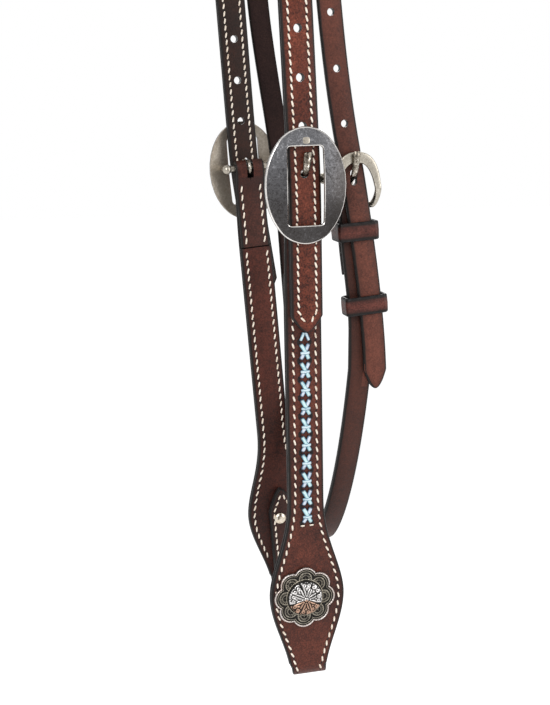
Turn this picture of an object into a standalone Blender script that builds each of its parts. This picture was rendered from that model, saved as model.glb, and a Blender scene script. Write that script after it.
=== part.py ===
"""Western headstall with browband and throat latch.

World frame: +X to the horse's rear, +Y to the off (right) side, +Z up.
The origin is the middle of the crown's underside, where the poll carries it.
Each cheek is built in its own frame: x across the strap, y away from the
head, z up, with the origin on the axis of the buckle bar that it hangs on.
"""
import math

import bmesh
import bpy
from mathutils import Matrix, Vector

MM = 0.001

# Leather and the clearance that every pair of touching pieces keeps
SEAM = 0.3 * MM
LAYER = 2.3 * MM
THROAT_LEATHER = 3.4 * MM
HALF_SPREAD = 61.0 * MM

# Crown, a doubled strap with a punched billet at each end
CROWN_WIDTH = 16.2 * MM
CROWN_NEAR_X = 17.1 * MM
CROWN_OFF_X = 17.1 * MM
NEAR_LEAN_ABOVE = math.radians(3.4)
NEAR_LEAN_BELOW = math.radians(1.2)
OFF_LEAN_ABOVE = math.radians(4.6)
OFF_LEAN_BELOW = math.radians(9.8)
LEAN_EASE = 12.0 * MM
BILLET_DROP = 75.2 * MM
BILLET_POINT = 8.5 * MM
HOLE_RADIUS = 2.1 * MM
CROWN_HOLE_PITCH = 22.8 * MM
CROWN_HOLES = 4

# Cheek buckles: bar, posts, domed oval plate with a window, bent wire tongue
BAR_DROP = 253.2 * MM
BAR_RADIUS = 1.7 * MM
POST_BALL_RADIUS = 2.7 * MM
POST_EASE = 1.5 * MM
POST_EDGE = 1.3 * MM
PLATE_HALF_WIDTH = 20.6 * MM
PLATE_HALF_HEIGHT = 28.4 * MM
PLATE_BELOW_BAR = 2.4 * MM
PLATE_THICKNESS = 2.0 * MM
PLATE_DOME = 3.0 * MM
WINDOW_HALF_HEIGHT = 19.0 * MM
WINDOW_SQUARENESS = 7.0
TONGUE_RADIUS = 1.15 * MM
TONGUE_TIP_GAP = 2.8 * MM
TONGUE_LIFT = 0.9 * MM

# Cheek pieces
NEAR_CHEEK_SHIFT = 0.3 * MM
OFF_CHEEK_SHIFT = 0.55 * MM
NEAR_CHEEK_LEAN = math.radians(1.2)
OFF_CHEEK_LEAN = math.radians(5.3)
CHEEK_WIDTH = 18.7 * MM
FOLD_WIDTH = 16.8 * MM
LOBE_WIDTH = 39.8 * MM
BIT_END_WIDTH = 18.6 * MM
FLAP_WIDTH = 16.2 * MM
BIT_DROP = 263.2 * MM
LOBE_ABOVE_BIT = 46.6 * MM
FLARE_LENGTH = 54.0 * MM
TURNBACK = 46.0 * MM
FOLD_EASE = 14.0 * MM
BIT_BORE = 6.0 * MM
LOOP_EASE = 22.0 * MM
FLAP_RISE = 18.0 * MM
FLAP_POINT = 14.0 * MM
NEAR_FLAP_SKEW = 5.0 * MM
OFF_CHEEK_RISE = 5.0 * MM
SLOT_EASE = 0.75 * MM
SLOT_OVERRUN = 3.3 * MM

# Buck lacing down the middle of each cheek
LACE_PITCH = 9.6 * MM
LACE_HALF_WIDTH = 3.1 * MM
LACE_WIDTH = 1.5 * MM
LACE_THICKNESS = 1.0 * MM
LACE_BELOW_TIP = 10.3 * MM
LACE_ABOVE_LOBE = 36.0 * MM

# Conchos and the screws that clamp them through both ends of the cheek
CONCHO_RADIUS = 16.4 * MM
CONCHO_SCALLOP = 1.5 * MM
CONCHO_LOBES = 8
CONCHO_PLATE = 1.4 * MM
CONCHO_RIM = 0.4 * MM
CONCHO_DOME_RADIUS = 10.2 * MM
CONCHO_DOME_HEIGHT = 3.6 * MM
CONCHO_SHIFT = 2.2 * MM
SCREW_RADIUS = 2.0 * MM
SCREW_HEAD_RADIUS = 3.6 * MM
SCREW_HEAD_HEIGHT = 1.9 * MM

# Throat latch: one long single strap, its buckle and its two keepers
THROAT_WIDTH = 12.2 * MM
STRAP_GAP = 1.6 * MM
TUCK_BELOW_BROW = 20.0 * MM
TUCK_ABOVE_BAR = 32.0 * MM
SPLAY_ABOVE_CHEEK_BAR = 118.2 * MM
SPLAY_ABOVE_THROAT_BAR = 132.0 * MM
SPLAY_POWER = 1.1
OFF_SPLAY_BELOW_BROW = 5.0 * MM
OFF_SPLAY_BAR_SHARE = 0.794
OFF_POST_CLEARANCE = 1.2 * MM
NEAR_POST_CLEARANCE = 0.45 * MM
PLATE_CLEARANCE = 0.65 * MM
THROAT_BAR_DROP = 267.0 * MM
TIP_BELOW_BAR = 93.0 * MM
LOOP_BELOW_BAR = 83.0 * MM
THROAT_BAR_RADIUS = 1.8 * MM
THROAT_FRAME_EASE = 2.3 * MM
THROAT_FRAME_RISE = 26.6 * MM
THROAT_FRAME_LEAN = math.radians(1.6)
THROAT_TONGUE_RADIUS = 1.1 * MM
THROAT_HOLE_RISE = 14.7 * MM
THROAT_HOLE_STRETCH = 2.2 * MM
THROAT_HOLE_PITCH = 26.1 * MM
THROAT_HOLES = 4
THROAT_TURNBACK = 34.0 * MM
THROAT_FOLD_EASE = 6.6 * MM
LOWER_SHIFT = 5.8 * MM
LOWER_SHIFT_RUN = 65.0 * MM
LOOP_DEPTH = 108.0 * MM
LOOP_BOTTOM_X = 44.0 * MM
LOOP_POWER = 2.0
KEEPER_WALL = 1.6 * MM
KEEPER_HEIGHT = 9.5 * MM
KEEPER_EASE = 0.9 * MM
KEEPER_CLEARANCE = 0.4 * MM
KEEPER_BELOW_FOLD = 0.65 * MM
LOWER_KEEPER_BELOW_BAR = 49.3 * MM

# Browband, with a loop at each end round the crown and throat straps
BROW_DROP = 145.0 * MM
BROW_HEIGHT = 22.0 * MM
BROW_LINING_HEIGHT = 20.0 * MM
BROW_BOW = 150.0 * MM
BROW_LOOP_SIDE = 4.0 * MM
BROW_LOOP_FACE = 0.6 * MM
BROW_SETBACK = 24.0 * MM
BROW_EASE = 11.0 * MM
BROW_SCREW_RADIUS = 2.0 * MM
BROW_SCREW_HEAD = 4.2 * MM
BROW_SCREW_DOME = 1.4 * MM

# How finely curved shapes are cut into flats
STEP = 12.0 * MM
FINE_STEP = 4.4 * MM
ROUND_SIDES = 16
HOLE_SIDES = 12
ARCH_FLATS = 20
PLATE_SIDES = 40
CUT_OVERRUN = 4.0 * MM

# Sizes that follow from the ones above
CROWN_HALF = LAYER + SEAM / 2
PLY = LAYER + SEAM
THROAT_PLY = THROAT_LEATHER + SEAM
SPRING_Z = -(HALF_SPREAD - CROWN_HALF)
FOLD_RADIUS = BAR_RADIUS + SEAM + LAYER / 2
BAR_INSET = CROWN_HALF + SEAM + FOLD_RADIUS + LAYER / 2
BILLET_TIP_Z = -(BAR_DROP + BILLET_DROP)
NEAR_CHEEK_X = CROWN_NEAR_X - NEAR_CHEEK_SHIFT
OFF_CHEEK_X = CROWN_OFF_X + OFF_CHEEK_SHIFT
THROAT_SPACING = CROWN_WIDTH / 2 + THROAT_WIDTH / 2 + STRAP_GAP
POST_REACH = FOLD_WIDTH / 2 + POST_BALL_RADIUS + POST_EASE
WINDOW_HALF_WIDTH = POST_REACH - BAR_RADIUS - POST_EDGE
SLOT_HALF_WIDTH = TONGUE_RADIUS + SLOT_EASE
SLOT_REACH = FOLD_RADIUS + LAYER / 2 + SLOT_OVERRUN
LOBE_DROP = BIT_DROP - LOBE_ABOVE_BIT
LACE_FIRST_DROP = BILLET_DROP + LACE_BELOW_TIP
LACE_RUN = LOBE_DROP - LACE_ABOVE_LOBE - LACE_FIRST_DROP + LACE_PITCH / 2
LACE_CROSSES = int(LACE_RUN / LACE_PITCH)
BIT_RADIUS = BIT_BORE / 2 + PLY + LAYER / 2
BIT_CENTRE_Z = -(BIT_DROP - BIT_RADIUS - LAYER / 2)
TONGUE_EYE = BAR_RADIUS + SEAM + TONGUE_RADIUS
THROAT_FOLD_RADIUS = THROAT_BAR_RADIUS + SEAM + THROAT_LEATHER / 2
THROAT_TUCK = (THROAT_LEATHER / 2 + THROAT_BAR_RADIUS * 2 - CROWN_HALF - SEAM
               + PLATE_CLEARANCE)
THROAT_REACH = HALF_SPREAD - THROAT_TUCK
THROAT_BAR_INSET = THROAT_PLY + THROAT_FOLD_RADIUS
THROAT_EYE = THROAT_BAR_RADIUS + SEAM + THROAT_TONGUE_RADIUS
THROAT_HOLE_Z = -(THROAT_BAR_DROP - THROAT_HOLE_RISE)
THROAT_HOLE_RADIUS = THROAT_TONGUE_RADIUS * 1.65
THROAT_TIP_DROP = THROAT_BAR_DROP + TIP_BELOW_BAR
LOOP_START_DROP = THROAT_BAR_DROP + LOOP_BELOW_BAR
THROAT_FRAME_HALF = THROAT_WIDTH / 2 + THROAT_BAR_RADIUS + THROAT_FRAME_EASE
UPPER_KEEPER_BELOW_BAR = THROAT_FOLD_EASE + KEEPER_HEIGHT / 2 + KEEPER_BELOW_FOLD
TUCK_TOP = BROW_DROP + TUCK_BELOW_BROW
TUCK_RUN = THROAT_BAR_DROP - TUCK_ABOVE_BAR - TUCK_TOP
SPLAY_TOP = min(BAR_DROP - SPLAY_ABOVE_CHEEK_BAR, THROAT_BAR_DROP - SPLAY_ABOVE_THROAT_BAR)
OFF_SPLAY_TOP = BROW_DROP + OFF_SPLAY_BELOW_BROW
OFF_SPLAY_RUN = (BAR_DROP - OFF_SPLAY_TOP) / OFF_SPLAY_BAR_SHARE
FRAME_X = (NEAR_CHEEK_X + POST_REACH + BAR_RADIUS + NEAR_POST_CLEARANCE
           + THROAT_BAR_RADIUS + THROAT_FRAME_HALF)

AXIS_X = Vector((1, 0, 0))
AXIS_Z = Vector((0, 0, 1))

LEATHER = (0.17, 0.045, 0.028, 1.0)
LINING = (0.09, 0.028, 0.02, 1.0)
THROAT_BROWN = (0.19, 0.055, 0.032, 1.0)
NICKEL = (0.55, 0.54, 0.52, 1.0)
SILVER = (0.5, 0.46, 0.42, 1.0)
LACE_BLUE = (0.33, 0.62, 0.74, 1.0)


def clear_scene():
    for obj in list(bpy.data.objects):
        bpy.data.objects.remove(obj)


def new_collection(name):
    group = bpy.data.collections.new(name)
    bpy.context.scene.collection.children.link(group)
    return group


def material(name, color, roughness, metallic):
    mat = bpy.data.materials.new(name)
    mat.use_nodes = True
    shader = mat.node_tree.nodes["Principled BSDF"]
    shader.inputs["Base Color"].default_value = color
    shader.inputs["Roughness"].default_value = roughness
    shader.inputs["Metallic"].default_value = metallic
    return mat


def leather(name, color=LEATHER):
    return material(name, color, 0.5, 0.0)


def metal(name, color=NICKEL):
    return material(name, color, 0.25, 1.0)


def add_object(name, mesh, mat, parent=None):
    obj = bpy.data.objects.new(name, mesh)
    obj.data.materials.append(mat)
    parts.objects.link(obj)
    obj.parent = parent
    return obj


def add_cutter(name, bm, parent=None):
    mesh = bpy.data.meshes.new(name)
    bmesh.ops.recalc_face_normals(bm, faces=bm.faces)
    bm.to_mesh(mesh)
    bm.free()
    obj = bpy.data.objects.new(name, mesh)
    obj.hide_render = True
    obj.display_type = "WIRE"
    cutters.objects.link(obj)
    obj.parent = parent
    return obj


def boolean(obj, other, operation="DIFFERENCE"):
    mod = obj.modifiers.new(operation.title(), "BOOLEAN")
    mod.operation = operation
    mod.solver = "EXACT"
    mod.object = other


def smooth_step(t):
    t = min(max(t, 0.0), 1.0)
    return t * t * (3 - 2 * t)


def spaced(start, stop, step):
    """Even places from start to stop, no further apart than step."""
    count = max(2, math.ceil(abs(stop - start) / step))
    return [start + (stop - start) * i / count for i in range(count + 1)]


def arc(centre_y, centre_z, radius, start, stop, count=9):
    """Points of an arc in degrees, 0 pointing away from the head."""
    points = []
    for i in range(count + 1):
        angle = math.radians(start + (stop - start) * i / count)
        points.append((centre_y + radius * math.cos(angle),
                       centre_z + radius * math.sin(angle)))
    return points


def ease(start, stop, count=6):
    """An S bend whose two ends run straight up and down."""
    points = []
    for i in range(count + 1):
        t = i / count
        y = start[0] + (stop[0] - start[0]) * smooth_step(t)
        points.append((y, start[1] + (stop[1] - start[1]) * t))
    return points


def point_half(distance, length, half):
    """Half width of a rounded point, from its tip to the full strap."""
    if distance >= length:
        return half
    return half * max(0.12, (distance / length) ** 0.6)


def tip_places(length):
    """Distances from a strap's tip that draw its rounded point."""
    return [length * share for share in (0.0, 0.08, 0.22, 0.42, 0.68, 1.0)]


def ribbon(name, stations, thickness, mat, parent=None, across=None):
    """A strap: a grid laid along its stations, then given its thickness.

    A station is (centre, half width). The width runs along across, or else
    along x turned square to the strap's own run."""
    count = len(stations)
    centres = [Vector(place) for place, half in stations]
    bm = bmesh.new()
    bmesh.ops.create_grid(bm, x_segments=1, y_segments=count - 1, size=1)
    for vert in bm.verts:
        side = 1 if vert.co.x > 0 else -1
        i = round((vert.co.y + 1) / 2 * (count - 1))
        run = centres[min(i + 1, count - 1)] - centres[max(i - 1, 0)]
        wide = across
        if not across:
            wide = (AXIS_X - run * run.x / run.length_squared).normalized()
        vert.co = centres[i] + wide * side * stations[i][1]
    mesh = bpy.data.meshes.new(name)
    bm.to_mesh(mesh)
    bm.free()
    obj = add_object(name, mesh, mat, parent)
    solid = obj.modifiers.new("Thickness", "SOLIDIFY")
    solid.thickness = thickness
    solid.offset = 0
    solid.use_even_offset = True
    return obj


def drill(bm, centre, axis, radius, length, stretch=0.0):
    """Add a cylinder along an axis to a cutter, drawn out in z by stretch."""
    turn = Vector((0, 0, 1)).rotation_difference(Vector(axis)).to_matrix().to_4x4()
    place = Matrix.Translation(Vector(centre)) @ turn
    made = bmesh.ops.create_cone(bm, cap_ends=True, segments=HOLE_SIDES,
                                 radius1=radius, radius2=radius,
                                 depth=length, matrix=place)
    for vert in made["verts"]:
        vert.co.z += math.copysign(stretch, vert.co.z - centre[2])


def tube(name, points, radius, mat, parent=None, cyclic=False):
    """Round wire along points, as a poly curve with filled ends."""
    curve = bpy.data.curves.new(name, "CURVE")
    curve.dimensions = "3D"
    curve.bevel_depth = radius
    curve.bevel_resolution = 2
    curve.use_fill_caps = True
    spline = curve.splines.new("POLY")
    spline.points.add(len(points) - 1)
    for item, place in zip(spline.points, points):
        item.co = (*place, 1)
    spline.use_cyclic_u = cyclic
    return add_object(name, curve, mat, parent)


def as_mesh(obj):
    """Turn a curve object into a welded mesh, so that Booleans can use it."""
    bpy.context.view_layer.update()
    graph = bpy.context.evaluated_depsgraph_get()
    mesh = bpy.data.meshes.new_from_object(obj.evaluated_get(graph))
    bm = bmesh.new()
    bm.from_mesh(mesh)
    bmesh.ops.remove_doubles(bm, verts=bm.verts, dist=SEAM / 100)
    bmesh.ops.recalc_face_normals(bm, faces=bm.faces)
    bm.to_mesh(mesh)
    bm.free()
    name, mat = obj.name, obj.data.materials[0]
    parent, place = obj.parent, obj.matrix_basis.copy()
    bpy.data.objects.remove(obj)
    made = bpy.data.objects.new(name, mesh)
    mesh.materials.clear()
    mesh.materials.append(mat)
    parts.objects.link(made)
    made.parent = parent
    made.matrix_basis = place
    return made


def flat_plate(name, outlines, thickness, mat, parent=None, rim=0.0):
    """A flat outline with holes, thickened along its local z."""
    curve = bpy.data.curves.new(name, "CURVE")
    curve.dimensions = "2D"
    curve.fill_mode = "BOTH"
    curve.extrude = thickness / 2 - rim
    curve.bevel_depth = rim
    curve.offset = -rim
    curve.bevel_resolution = 0
    for outline in outlines:
        spline = curve.splines.new("POLY")
        spline.points.add(len(outline) - 1)
        for item, place in zip(spline.points, outline):
            item.co = (place[0], place[1], 0, 1)
        spline.use_cyclic_u = True
    return add_object(name, curve, mat, parent)


def turned(name, profile, mat, parent=None):
    """A turned piece about local z; its profile runs from top to bottom."""
    bm = bmesh.new()
    verts = [bm.verts.new((radius, 0, height)) for radius, height in profile]
    for first, second in zip(verts, verts[1:]):
        bm.edges.new((first, second))
    mesh = bpy.data.meshes.new(name)
    bm.to_mesh(mesh)
    bm.free()
    obj = add_object(name, mesh, mat, parent)
    screw = obj.modifiers.new("Turn", "SCREW")
    screw.axis = "Z"
    screw.steps = ROUND_SIDES
    screw.render_steps = ROUND_SIDES
    screw.use_merge_vertices = True
    screw.merge_threshold = SEAM / 100
    screw.use_smooth_shade = True
    return obj


def bend(height, value, above, below):
    """A strap line that leans one way above height 0 and another below."""
    mean = -(math.tan(above) + math.tan(below)) / 2
    change = -(math.tan(above) - math.tan(below)) / 2
    rounded = math.hypot(height, LEAN_EASE) - LEAN_EASE
    return value + mean * height + change * rounded


def near_crown_x(z):
    return bend(z + BAR_DROP, CROWN_NEAR_X, NEAR_LEAN_ABOVE, NEAR_LEAN_BELOW)


def off_crown_x(z):
    return bend(z + BAR_DROP, CROWN_OFF_X, OFF_LEAN_ABOVE, OFF_LEAN_BELOW)


def arch_x(t):
    """Crown's x over the poll, joining both sides without a kink."""
    start, stop = near_crown_x(SPRING_Z), off_crown_x(SPRING_Z)
    run = math.pi * HALF_SPREAD
    slope_in = -math.tan(NEAR_LEAN_ABOVE) * run
    slope_out = math.tan(OFF_LEAN_ABOVE) * run
    return (start * (2 * t**3 - 3 * t**2 + 1) + slope_in * (t**3 - 2 * t**2 + t)
            + stop * (3 * t**2 - 2 * t**3) + slope_out * (t**3 - t**2))


def splay_share(z):
    """How far the throat billet has splayed at height z, from 0 to 1."""
    t = max(0.0, (-z - SPLAY_TOP) / (THROAT_TIP_DROP - SPLAY_TOP))
    return smooth_step(t**SPLAY_POWER)


def near_throat_x(z):
    """Throat billet's line: beside the crown on top, then splayed back so that
    its buckle clears the cheek buckle's rear post."""
    hole_x = FRAME_X - math.tan(THROAT_FRAME_LEAN) * THROAT_HOLE_RISE
    splay = hole_x - near_crown_x(THROAT_HOLE_Z) - THROAT_SPACING
    share = splay_share(z) / splay_share(THROAT_HOLE_Z)
    return near_crown_x(z) + THROAT_SPACING + splay * share


def near_throat_y(z):
    """Distance out of the billet's middle: it tucks in behind the cheek buckle."""
    return HALF_SPREAD - THROAT_TUCK * smooth_step((-z - TUCK_TOP) / TUCK_RUN)


def off_throat_x(z):
    """Off side's line, splayed back past the cheek buckle's rear post."""
    t = (-z - OFF_SPLAY_TOP) / OFF_SPLAY_RUN
    post = OFF_CHEEK_X + POST_REACH + BAR_RADIUS + OFF_POST_CLEARANCE
    splay = post + THROAT_WIDTH / 2 - CROWN_OFF_X - THROAT_SPACING
    share = smooth_step(t) / smooth_step(OFF_SPLAY_BAR_SHARE)
    line = CROWN_OFF_X - math.tan(OFF_LEAN_ABOVE) * (z + BAR_DROP)
    blend = smooth_step((-z - OFF_SPLAY_TOP) / (BAR_DROP - OFF_SPLAY_TOP))
    crown = off_crown_x(z) * (1 - blend) + line * blend
    return crown + THROAT_SPACING + splay * share


def near_lower_x(z):
    """The strap below the throat buckle, behind its billet."""
    return FRAME_X + LOWER_SHIFT * smooth_step((-z - THROAT_BAR_DROP) / LOWER_SHIFT_RUN)


def arch_point(angle, radius):
    return (-radius * math.cos(angle), SPRING_Z + radius * math.sin(angle))


def crown_stations(offset):
    """Crown from the near billet's tip over the poll to the off one's."""
    half = CROWN_WIDTH / 2
    radius = HALF_SPREAD + offset
    tips = tip_places(BILLET_POINT)
    side = [BILLET_TIP_Z + d for d in tips]
    side += spaced(BILLET_TIP_Z + BILLET_POINT, SPRING_Z, STEP)[1:]
    halves = [point_half(z - BILLET_TIP_Z, BILLET_POINT, half) for z in side]
    near = [((near_crown_x(z), -radius, z), h) for z, h in zip(side, halves)]
    off = [((off_crown_x(z), radius, z), h) for z, h in zip(side, halves)]
    arch = []
    count = ARCH_FLATS
    for i in range(1, count):
        y, z = arch_point(math.pi * i / count, radius)
        arch.append(((arch_x(i / count), y, z), half))
    return near + arch + off[::-1]


def crown_hole_cutter():
    bm = bmesh.new()
    length = CROWN_HALF * 2 + CUT_OVERRUN
    for sign, line in ((-1, near_crown_x), (1, off_crown_x)):
        for i in range(CROWN_HOLES):
            z = -BAR_DROP + TONGUE_EYE + i * CROWN_HOLE_PITCH
            x = line(z) if i else pivot_x(sign, z)
            drill(bm, (x, sign * HALF_SPREAD, z), (0, 1, 0), HOLE_RADIUS, length)
    return add_cutter("crown_hole_cutter", bm)


def pivot_x(sign, z):
    """Middle of a cheek buckle at height z, where its tongue passes."""
    x, lean = (NEAR_CHEEK_X, NEAR_CHEEK_LEAN) if sign < 0 else (OFF_CHEEK_X, OFF_CHEEK_LEAN)
    return x - math.tan(lean) * (z + BAR_DROP)


def add_pivot(name, place, lean, near):
    """An empty whose x lies along a bar, y away from the head, z up."""
    turn = Matrix.Rotation(-lean, 4, "Y")
    if near:
        turn = turn @ Matrix.Rotation(math.pi, 4, "Z")
    empty = bpy.data.objects.new(name, None)
    empty.matrix_world = Matrix.Translation(Vector(place)) @ turn
    parts.objects.link(empty)
    return empty


def cheek_half(drop):
    """Cheek's half width at a drop below the bar."""
    strap, lobe, end = CHEEK_WIDTH / 2, LOBE_WIDTH / 2, BIT_END_WIDTH / 2
    if drop < TURNBACK:
        fold = FOLD_WIDTH / 2
        return fold + (strap - fold) * smooth_step(drop / TURNBACK)
    if drop < LOBE_DROP:
        t = max(0.0, (drop - LOBE_DROP + FLARE_LENGTH) / FLARE_LENGTH)
        return strap + (lobe - strap) * smooth_step(t**1.25)
    t = (drop - LOBE_DROP) / (BIT_DROP - LOBE_DROP)
    return lobe + (end - lobe) * smooth_step(t)


def cheek_run(y, start, stop):
    """Straight outer run of a cheek layer, finer where the lobe flares."""
    flare = -(LOBE_DROP - FLARE_LENGTH)
    rows = spaced(start, flare, STEP) + spaced(flare, stop, FINE_STEP)[1:]
    return [((0, y, z), cheek_half(-z)) for z in rows]


def flap_run(wide, plane, skew, tip):
    """From the bit fold up the inner side to the flap's point."""
    rows = []
    start = (-2 * wide + FOLD_RADIUS if plane == 3 else -2 * wide + FOLD_RADIUS + PLY)
    stop = FOLD_RADIUS - plane * PLY
    bend_top = BIT_CENTRE_Z + LOOP_EASE
    end, flap = BIT_END_WIDTH / 2, FLAP_WIDTH / 2
    for i, (y, z) in enumerate(ease((start, BIT_CENTRE_Z), (stop, bend_top), 7)):
        t = i / 7
        rows.append(((skew * (1 - smooth_step(t)), y, z), end + (flap - end) * t))
    full = tip - FLAP_POINT
    for z in spaced(bend_top, full, FINE_STEP * 2)[1:]:
        rows.append(((0, stop, z), flap))
    for d in tip_places(FLAP_POINT)[::-1][1:]:
        rows.append(((0, stop, tip - d), point_half(d, FLAP_POINT, flap)))
    return rows


def bit_fold(radius, skew):
    """Round the bit: a half turn from the outer run to the flap."""
    rows = []
    points = arc(FOLD_RADIUS - BIT_RADIUS, BIT_CENTRE_Z, radius, 0, -180)
    for i, (y, z) in enumerate(points[1:-1], 1):
        share = smooth_step(i / (len(points) - 1))
        rows.append(((skew * share, y, z), BIT_END_WIDTH / 2))
    return rows


def hang(rows, rise):
    """Rows of a cheek made shorter by a rise between turnback and lacing."""
    top = -(TURNBACK + SEAM)
    run = LACE_FIRST_DROP - LACE_PITCH / 2 + top
    return [((x, y, z + rise * smooth_step((top - z) / run)), half)
            for (x, y, z), half in rows]


def cheek_leather_stations(skew, rise):
    back_plane = FOLD_RADIUS - PLY
    rows = []
    fold = FOLD_WIDTH / 2
    for z in spaced(-TURNBACK, -FOLD_EASE, STEP)[:-1]:
        rows.append(((0, back_plane, z), fold))
    for y, z in ease((back_plane, -FOLD_EASE), (-FOLD_RADIUS, 0)):
        rows.append(((0, y, z), fold))
    for y, z in arc(0, 0, FOLD_RADIUS, 180, 0)[1:-1]:
        rows.append(((0, y, z), fold))
    rows += cheek_run(FOLD_RADIUS, 0, BIT_CENTRE_Z)
    rows += bit_fold(BIT_RADIUS, skew)
    rows += flap_run(BIT_RADIUS, 3, skew, -(LOBE_DROP - FLAP_RISE))
    return hang(rows, rise)


def cheek_lining_stations(skew, rise):
    rows = cheek_run(FOLD_RADIUS - PLY, -(TURNBACK + SEAM), BIT_CENTRE_Z)
    rows += bit_fold(BIT_RADIUS - PLY, skew)
    rows += flap_run(BIT_RADIUS, 2, skew, -(LOBE_DROP - FLAP_RISE))
    return hang(rows, rise)


def build_lacing(name, pivot, rise):
    """Crossed laces as one net: outer zigzag with a diamond in each cell."""
    half, waist = LACE_HALF_WIDTH, LACE_WIDTH
    right = []
    holes = []
    pitch = LACE_PITCH
    for i in range(LACE_CROSSES):
        z = -(LACE_FIRST_DROP + i * pitch)
        top = z + pitch / 2
        right += [(half, top - LACE_WIDTH / 2), (half * 0.82, top - LACE_WIDTH)]
        right += [(waist, z)]
        right += [(half * 0.82, z - pitch / 2 + LACE_WIDTH), (half, z - pitch / 2 + LACE_WIDTH / 2)]
        if i + 1 < LACE_CROSSES:
            low = z - pitch / 2
            reach, side = pitch / 2 - LACE_WIDTH * 1.15, half - LACE_WIDTH
            holes.append([(0, low + reach), (-side, low), (0, low - reach), (side, low)])
    outline = right + [(-x, z) for x, z in reversed(right)]
    obj = flat_plate(name, [outline] + holes, LACE_THICKNESS, leather(name, LACE_BLUE))
    obj.rotation_euler = (math.pi / 2, 0, 0)
    obj.location = (0, FOLD_RADIUS + LAYER / 2 + SEAM + LACE_THICKNESS / 2, rise)
    obj.parent = pivot
    return obj


def build_concho(name, pivot, shift, rise):
    points = []
    count = CONCHO_LOBES * 6
    for i in range(count):
        angle = 2 * math.pi * (i + 0.5) / count
        swell = abs(math.sin(CONCHO_LOBES * angle / 2)) ** 0.6
        radius = CONCHO_RADIUS - CONCHO_SCALLOP * (1 - swell)
        points.append((radius * math.cos(angle), radius * math.sin(angle)))
    obj = flat_plate(name, [points], CONCHO_PLATE, metal(name, SILVER), rim=CONCHO_RIM)
    obj = as_mesh(obj)
    bm = bmesh.new()
    size = Matrix.Diagonal((CONCHO_DOME_RADIUS, CONCHO_DOME_RADIUS, CONCHO_DOME_HEIGHT, 1))
    bmesh.ops.create_uvsphere(bm, u_segments=24, v_segments=10, radius=1, matrix=size)
    shape = bm.verts[:] + bm.edges[:] + bm.faces[:]
    bmesh.ops.bisect_plane(bm, geom=shape, plane_co=(0, 0, -CONCHO_PLATE / 4),
                           plane_no=(0, 0, -1), clear_outer=True)
    bmesh.ops.holes_fill(bm, edges=[edge for edge in bm.edges if edge.is_boundary])
    dome = add_cutter(name + "_dome", bm)
    boolean(obj, dome, "UNION")
    back = FOLD_RADIUS + LAYER / 2 + SEAM
    turn = Matrix.Rotation(-math.pi / 2, 4, "X")
    place = Matrix.Translation((shift, back + CONCHO_PLATE / 2, rise - LOBE_DROP)) @ turn
    obj.parent = pivot
    obj.matrix_basis = place
    dome.parent = pivot
    dome.matrix_basis = place
    return obj


def build_concho_screw(name, pivot, shift, rise):
    """Head on the flap's inner face, shank through all four layers."""
    outer = FOLD_RADIUS + LAYER / 2
    inner = FOLD_RADIUS - 3 * PLY - LAYER / 2 - SEAM
    shank = outer - inner
    profile = [(0, shank), (SCREW_RADIUS, shank), (SCREW_RADIUS, 0), (SCREW_HEAD_RADIUS, 0)]
    for i in range(1, 6):
        angle = math.pi / 2 * i / 5
        profile.append((SCREW_HEAD_RADIUS * math.cos(angle) if i < 5 else 0,
                        -SCREW_HEAD_HEIGHT * math.sin(angle)))
    obj = turned(name, profile, metal(name), pivot)
    obj.rotation_euler = (-math.pi / 2, 0, 0)
    obj.location = (shift, inner, rise - LOBE_DROP)
    return obj


def build_cheek(side, pivot, near):
    skew = -NEAR_FLAP_SKEW if near else 0.0
    shift = CONCHO_SHIFT if near else -CONCHO_SHIFT
    rise = 0.0 if near else OFF_CHEEK_RISE
    outer = ribbon(side + "_cheek_leather", cheek_leather_stations(skew, rise), LAYER,
                   leather(side + "_cheek_leather"), pivot, AXIS_X)
    inner = ribbon(side + "_cheek_lining", cheek_lining_stations(skew, rise), LAYER,
                   leather(side + "_cheek_lining", LINING), pivot, AXIS_X)
    bm = bmesh.new()
    span = (BIT_RADIUS + CUT_OVERRUN) * 4
    drill(bm, (shift, 0, rise - LOBE_DROP), (0, 1, 0), SCREW_RADIUS + SEAM, span)
    hole = add_cutter(side + "_screw_cutter", bm, pivot)
    boolean(outer, hole)
    boolean(inner, hole)
    bm = bmesh.new()
    size = (SLOT_HALF_WIDTH * 2, (FOLD_RADIUS + LAYER) * 2 + CUT_OVERRUN, SLOT_REACH * 2)
    bmesh.ops.create_cube(bm, size=1, matrix=Matrix.Diagonal((*size, 1)))
    slot = add_cutter(side + "_slot_cutter", bm, pivot)
    boolean(outer, slot)
    build_lacing(side + "_lacing", pivot, rise)
    build_concho(side + "_concho", pivot, shift, rise)
    build_concho_screw(side + "_concho_screw", pivot, shift, rise)


def plate_height(x, z):
    """Middle of the domed plate, measured out from the bar's axis."""
    spread = (x / PLATE_HALF_WIDTH) ** 2 + (z / PLATE_HALF_HEIGHT) ** 2
    rim = BAR_INSET + CROWN_HALF + SEAM + PLATE_THICKNESS / 2 + SEAM
    return rim + PLATE_DOME * (1 - spread)


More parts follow.
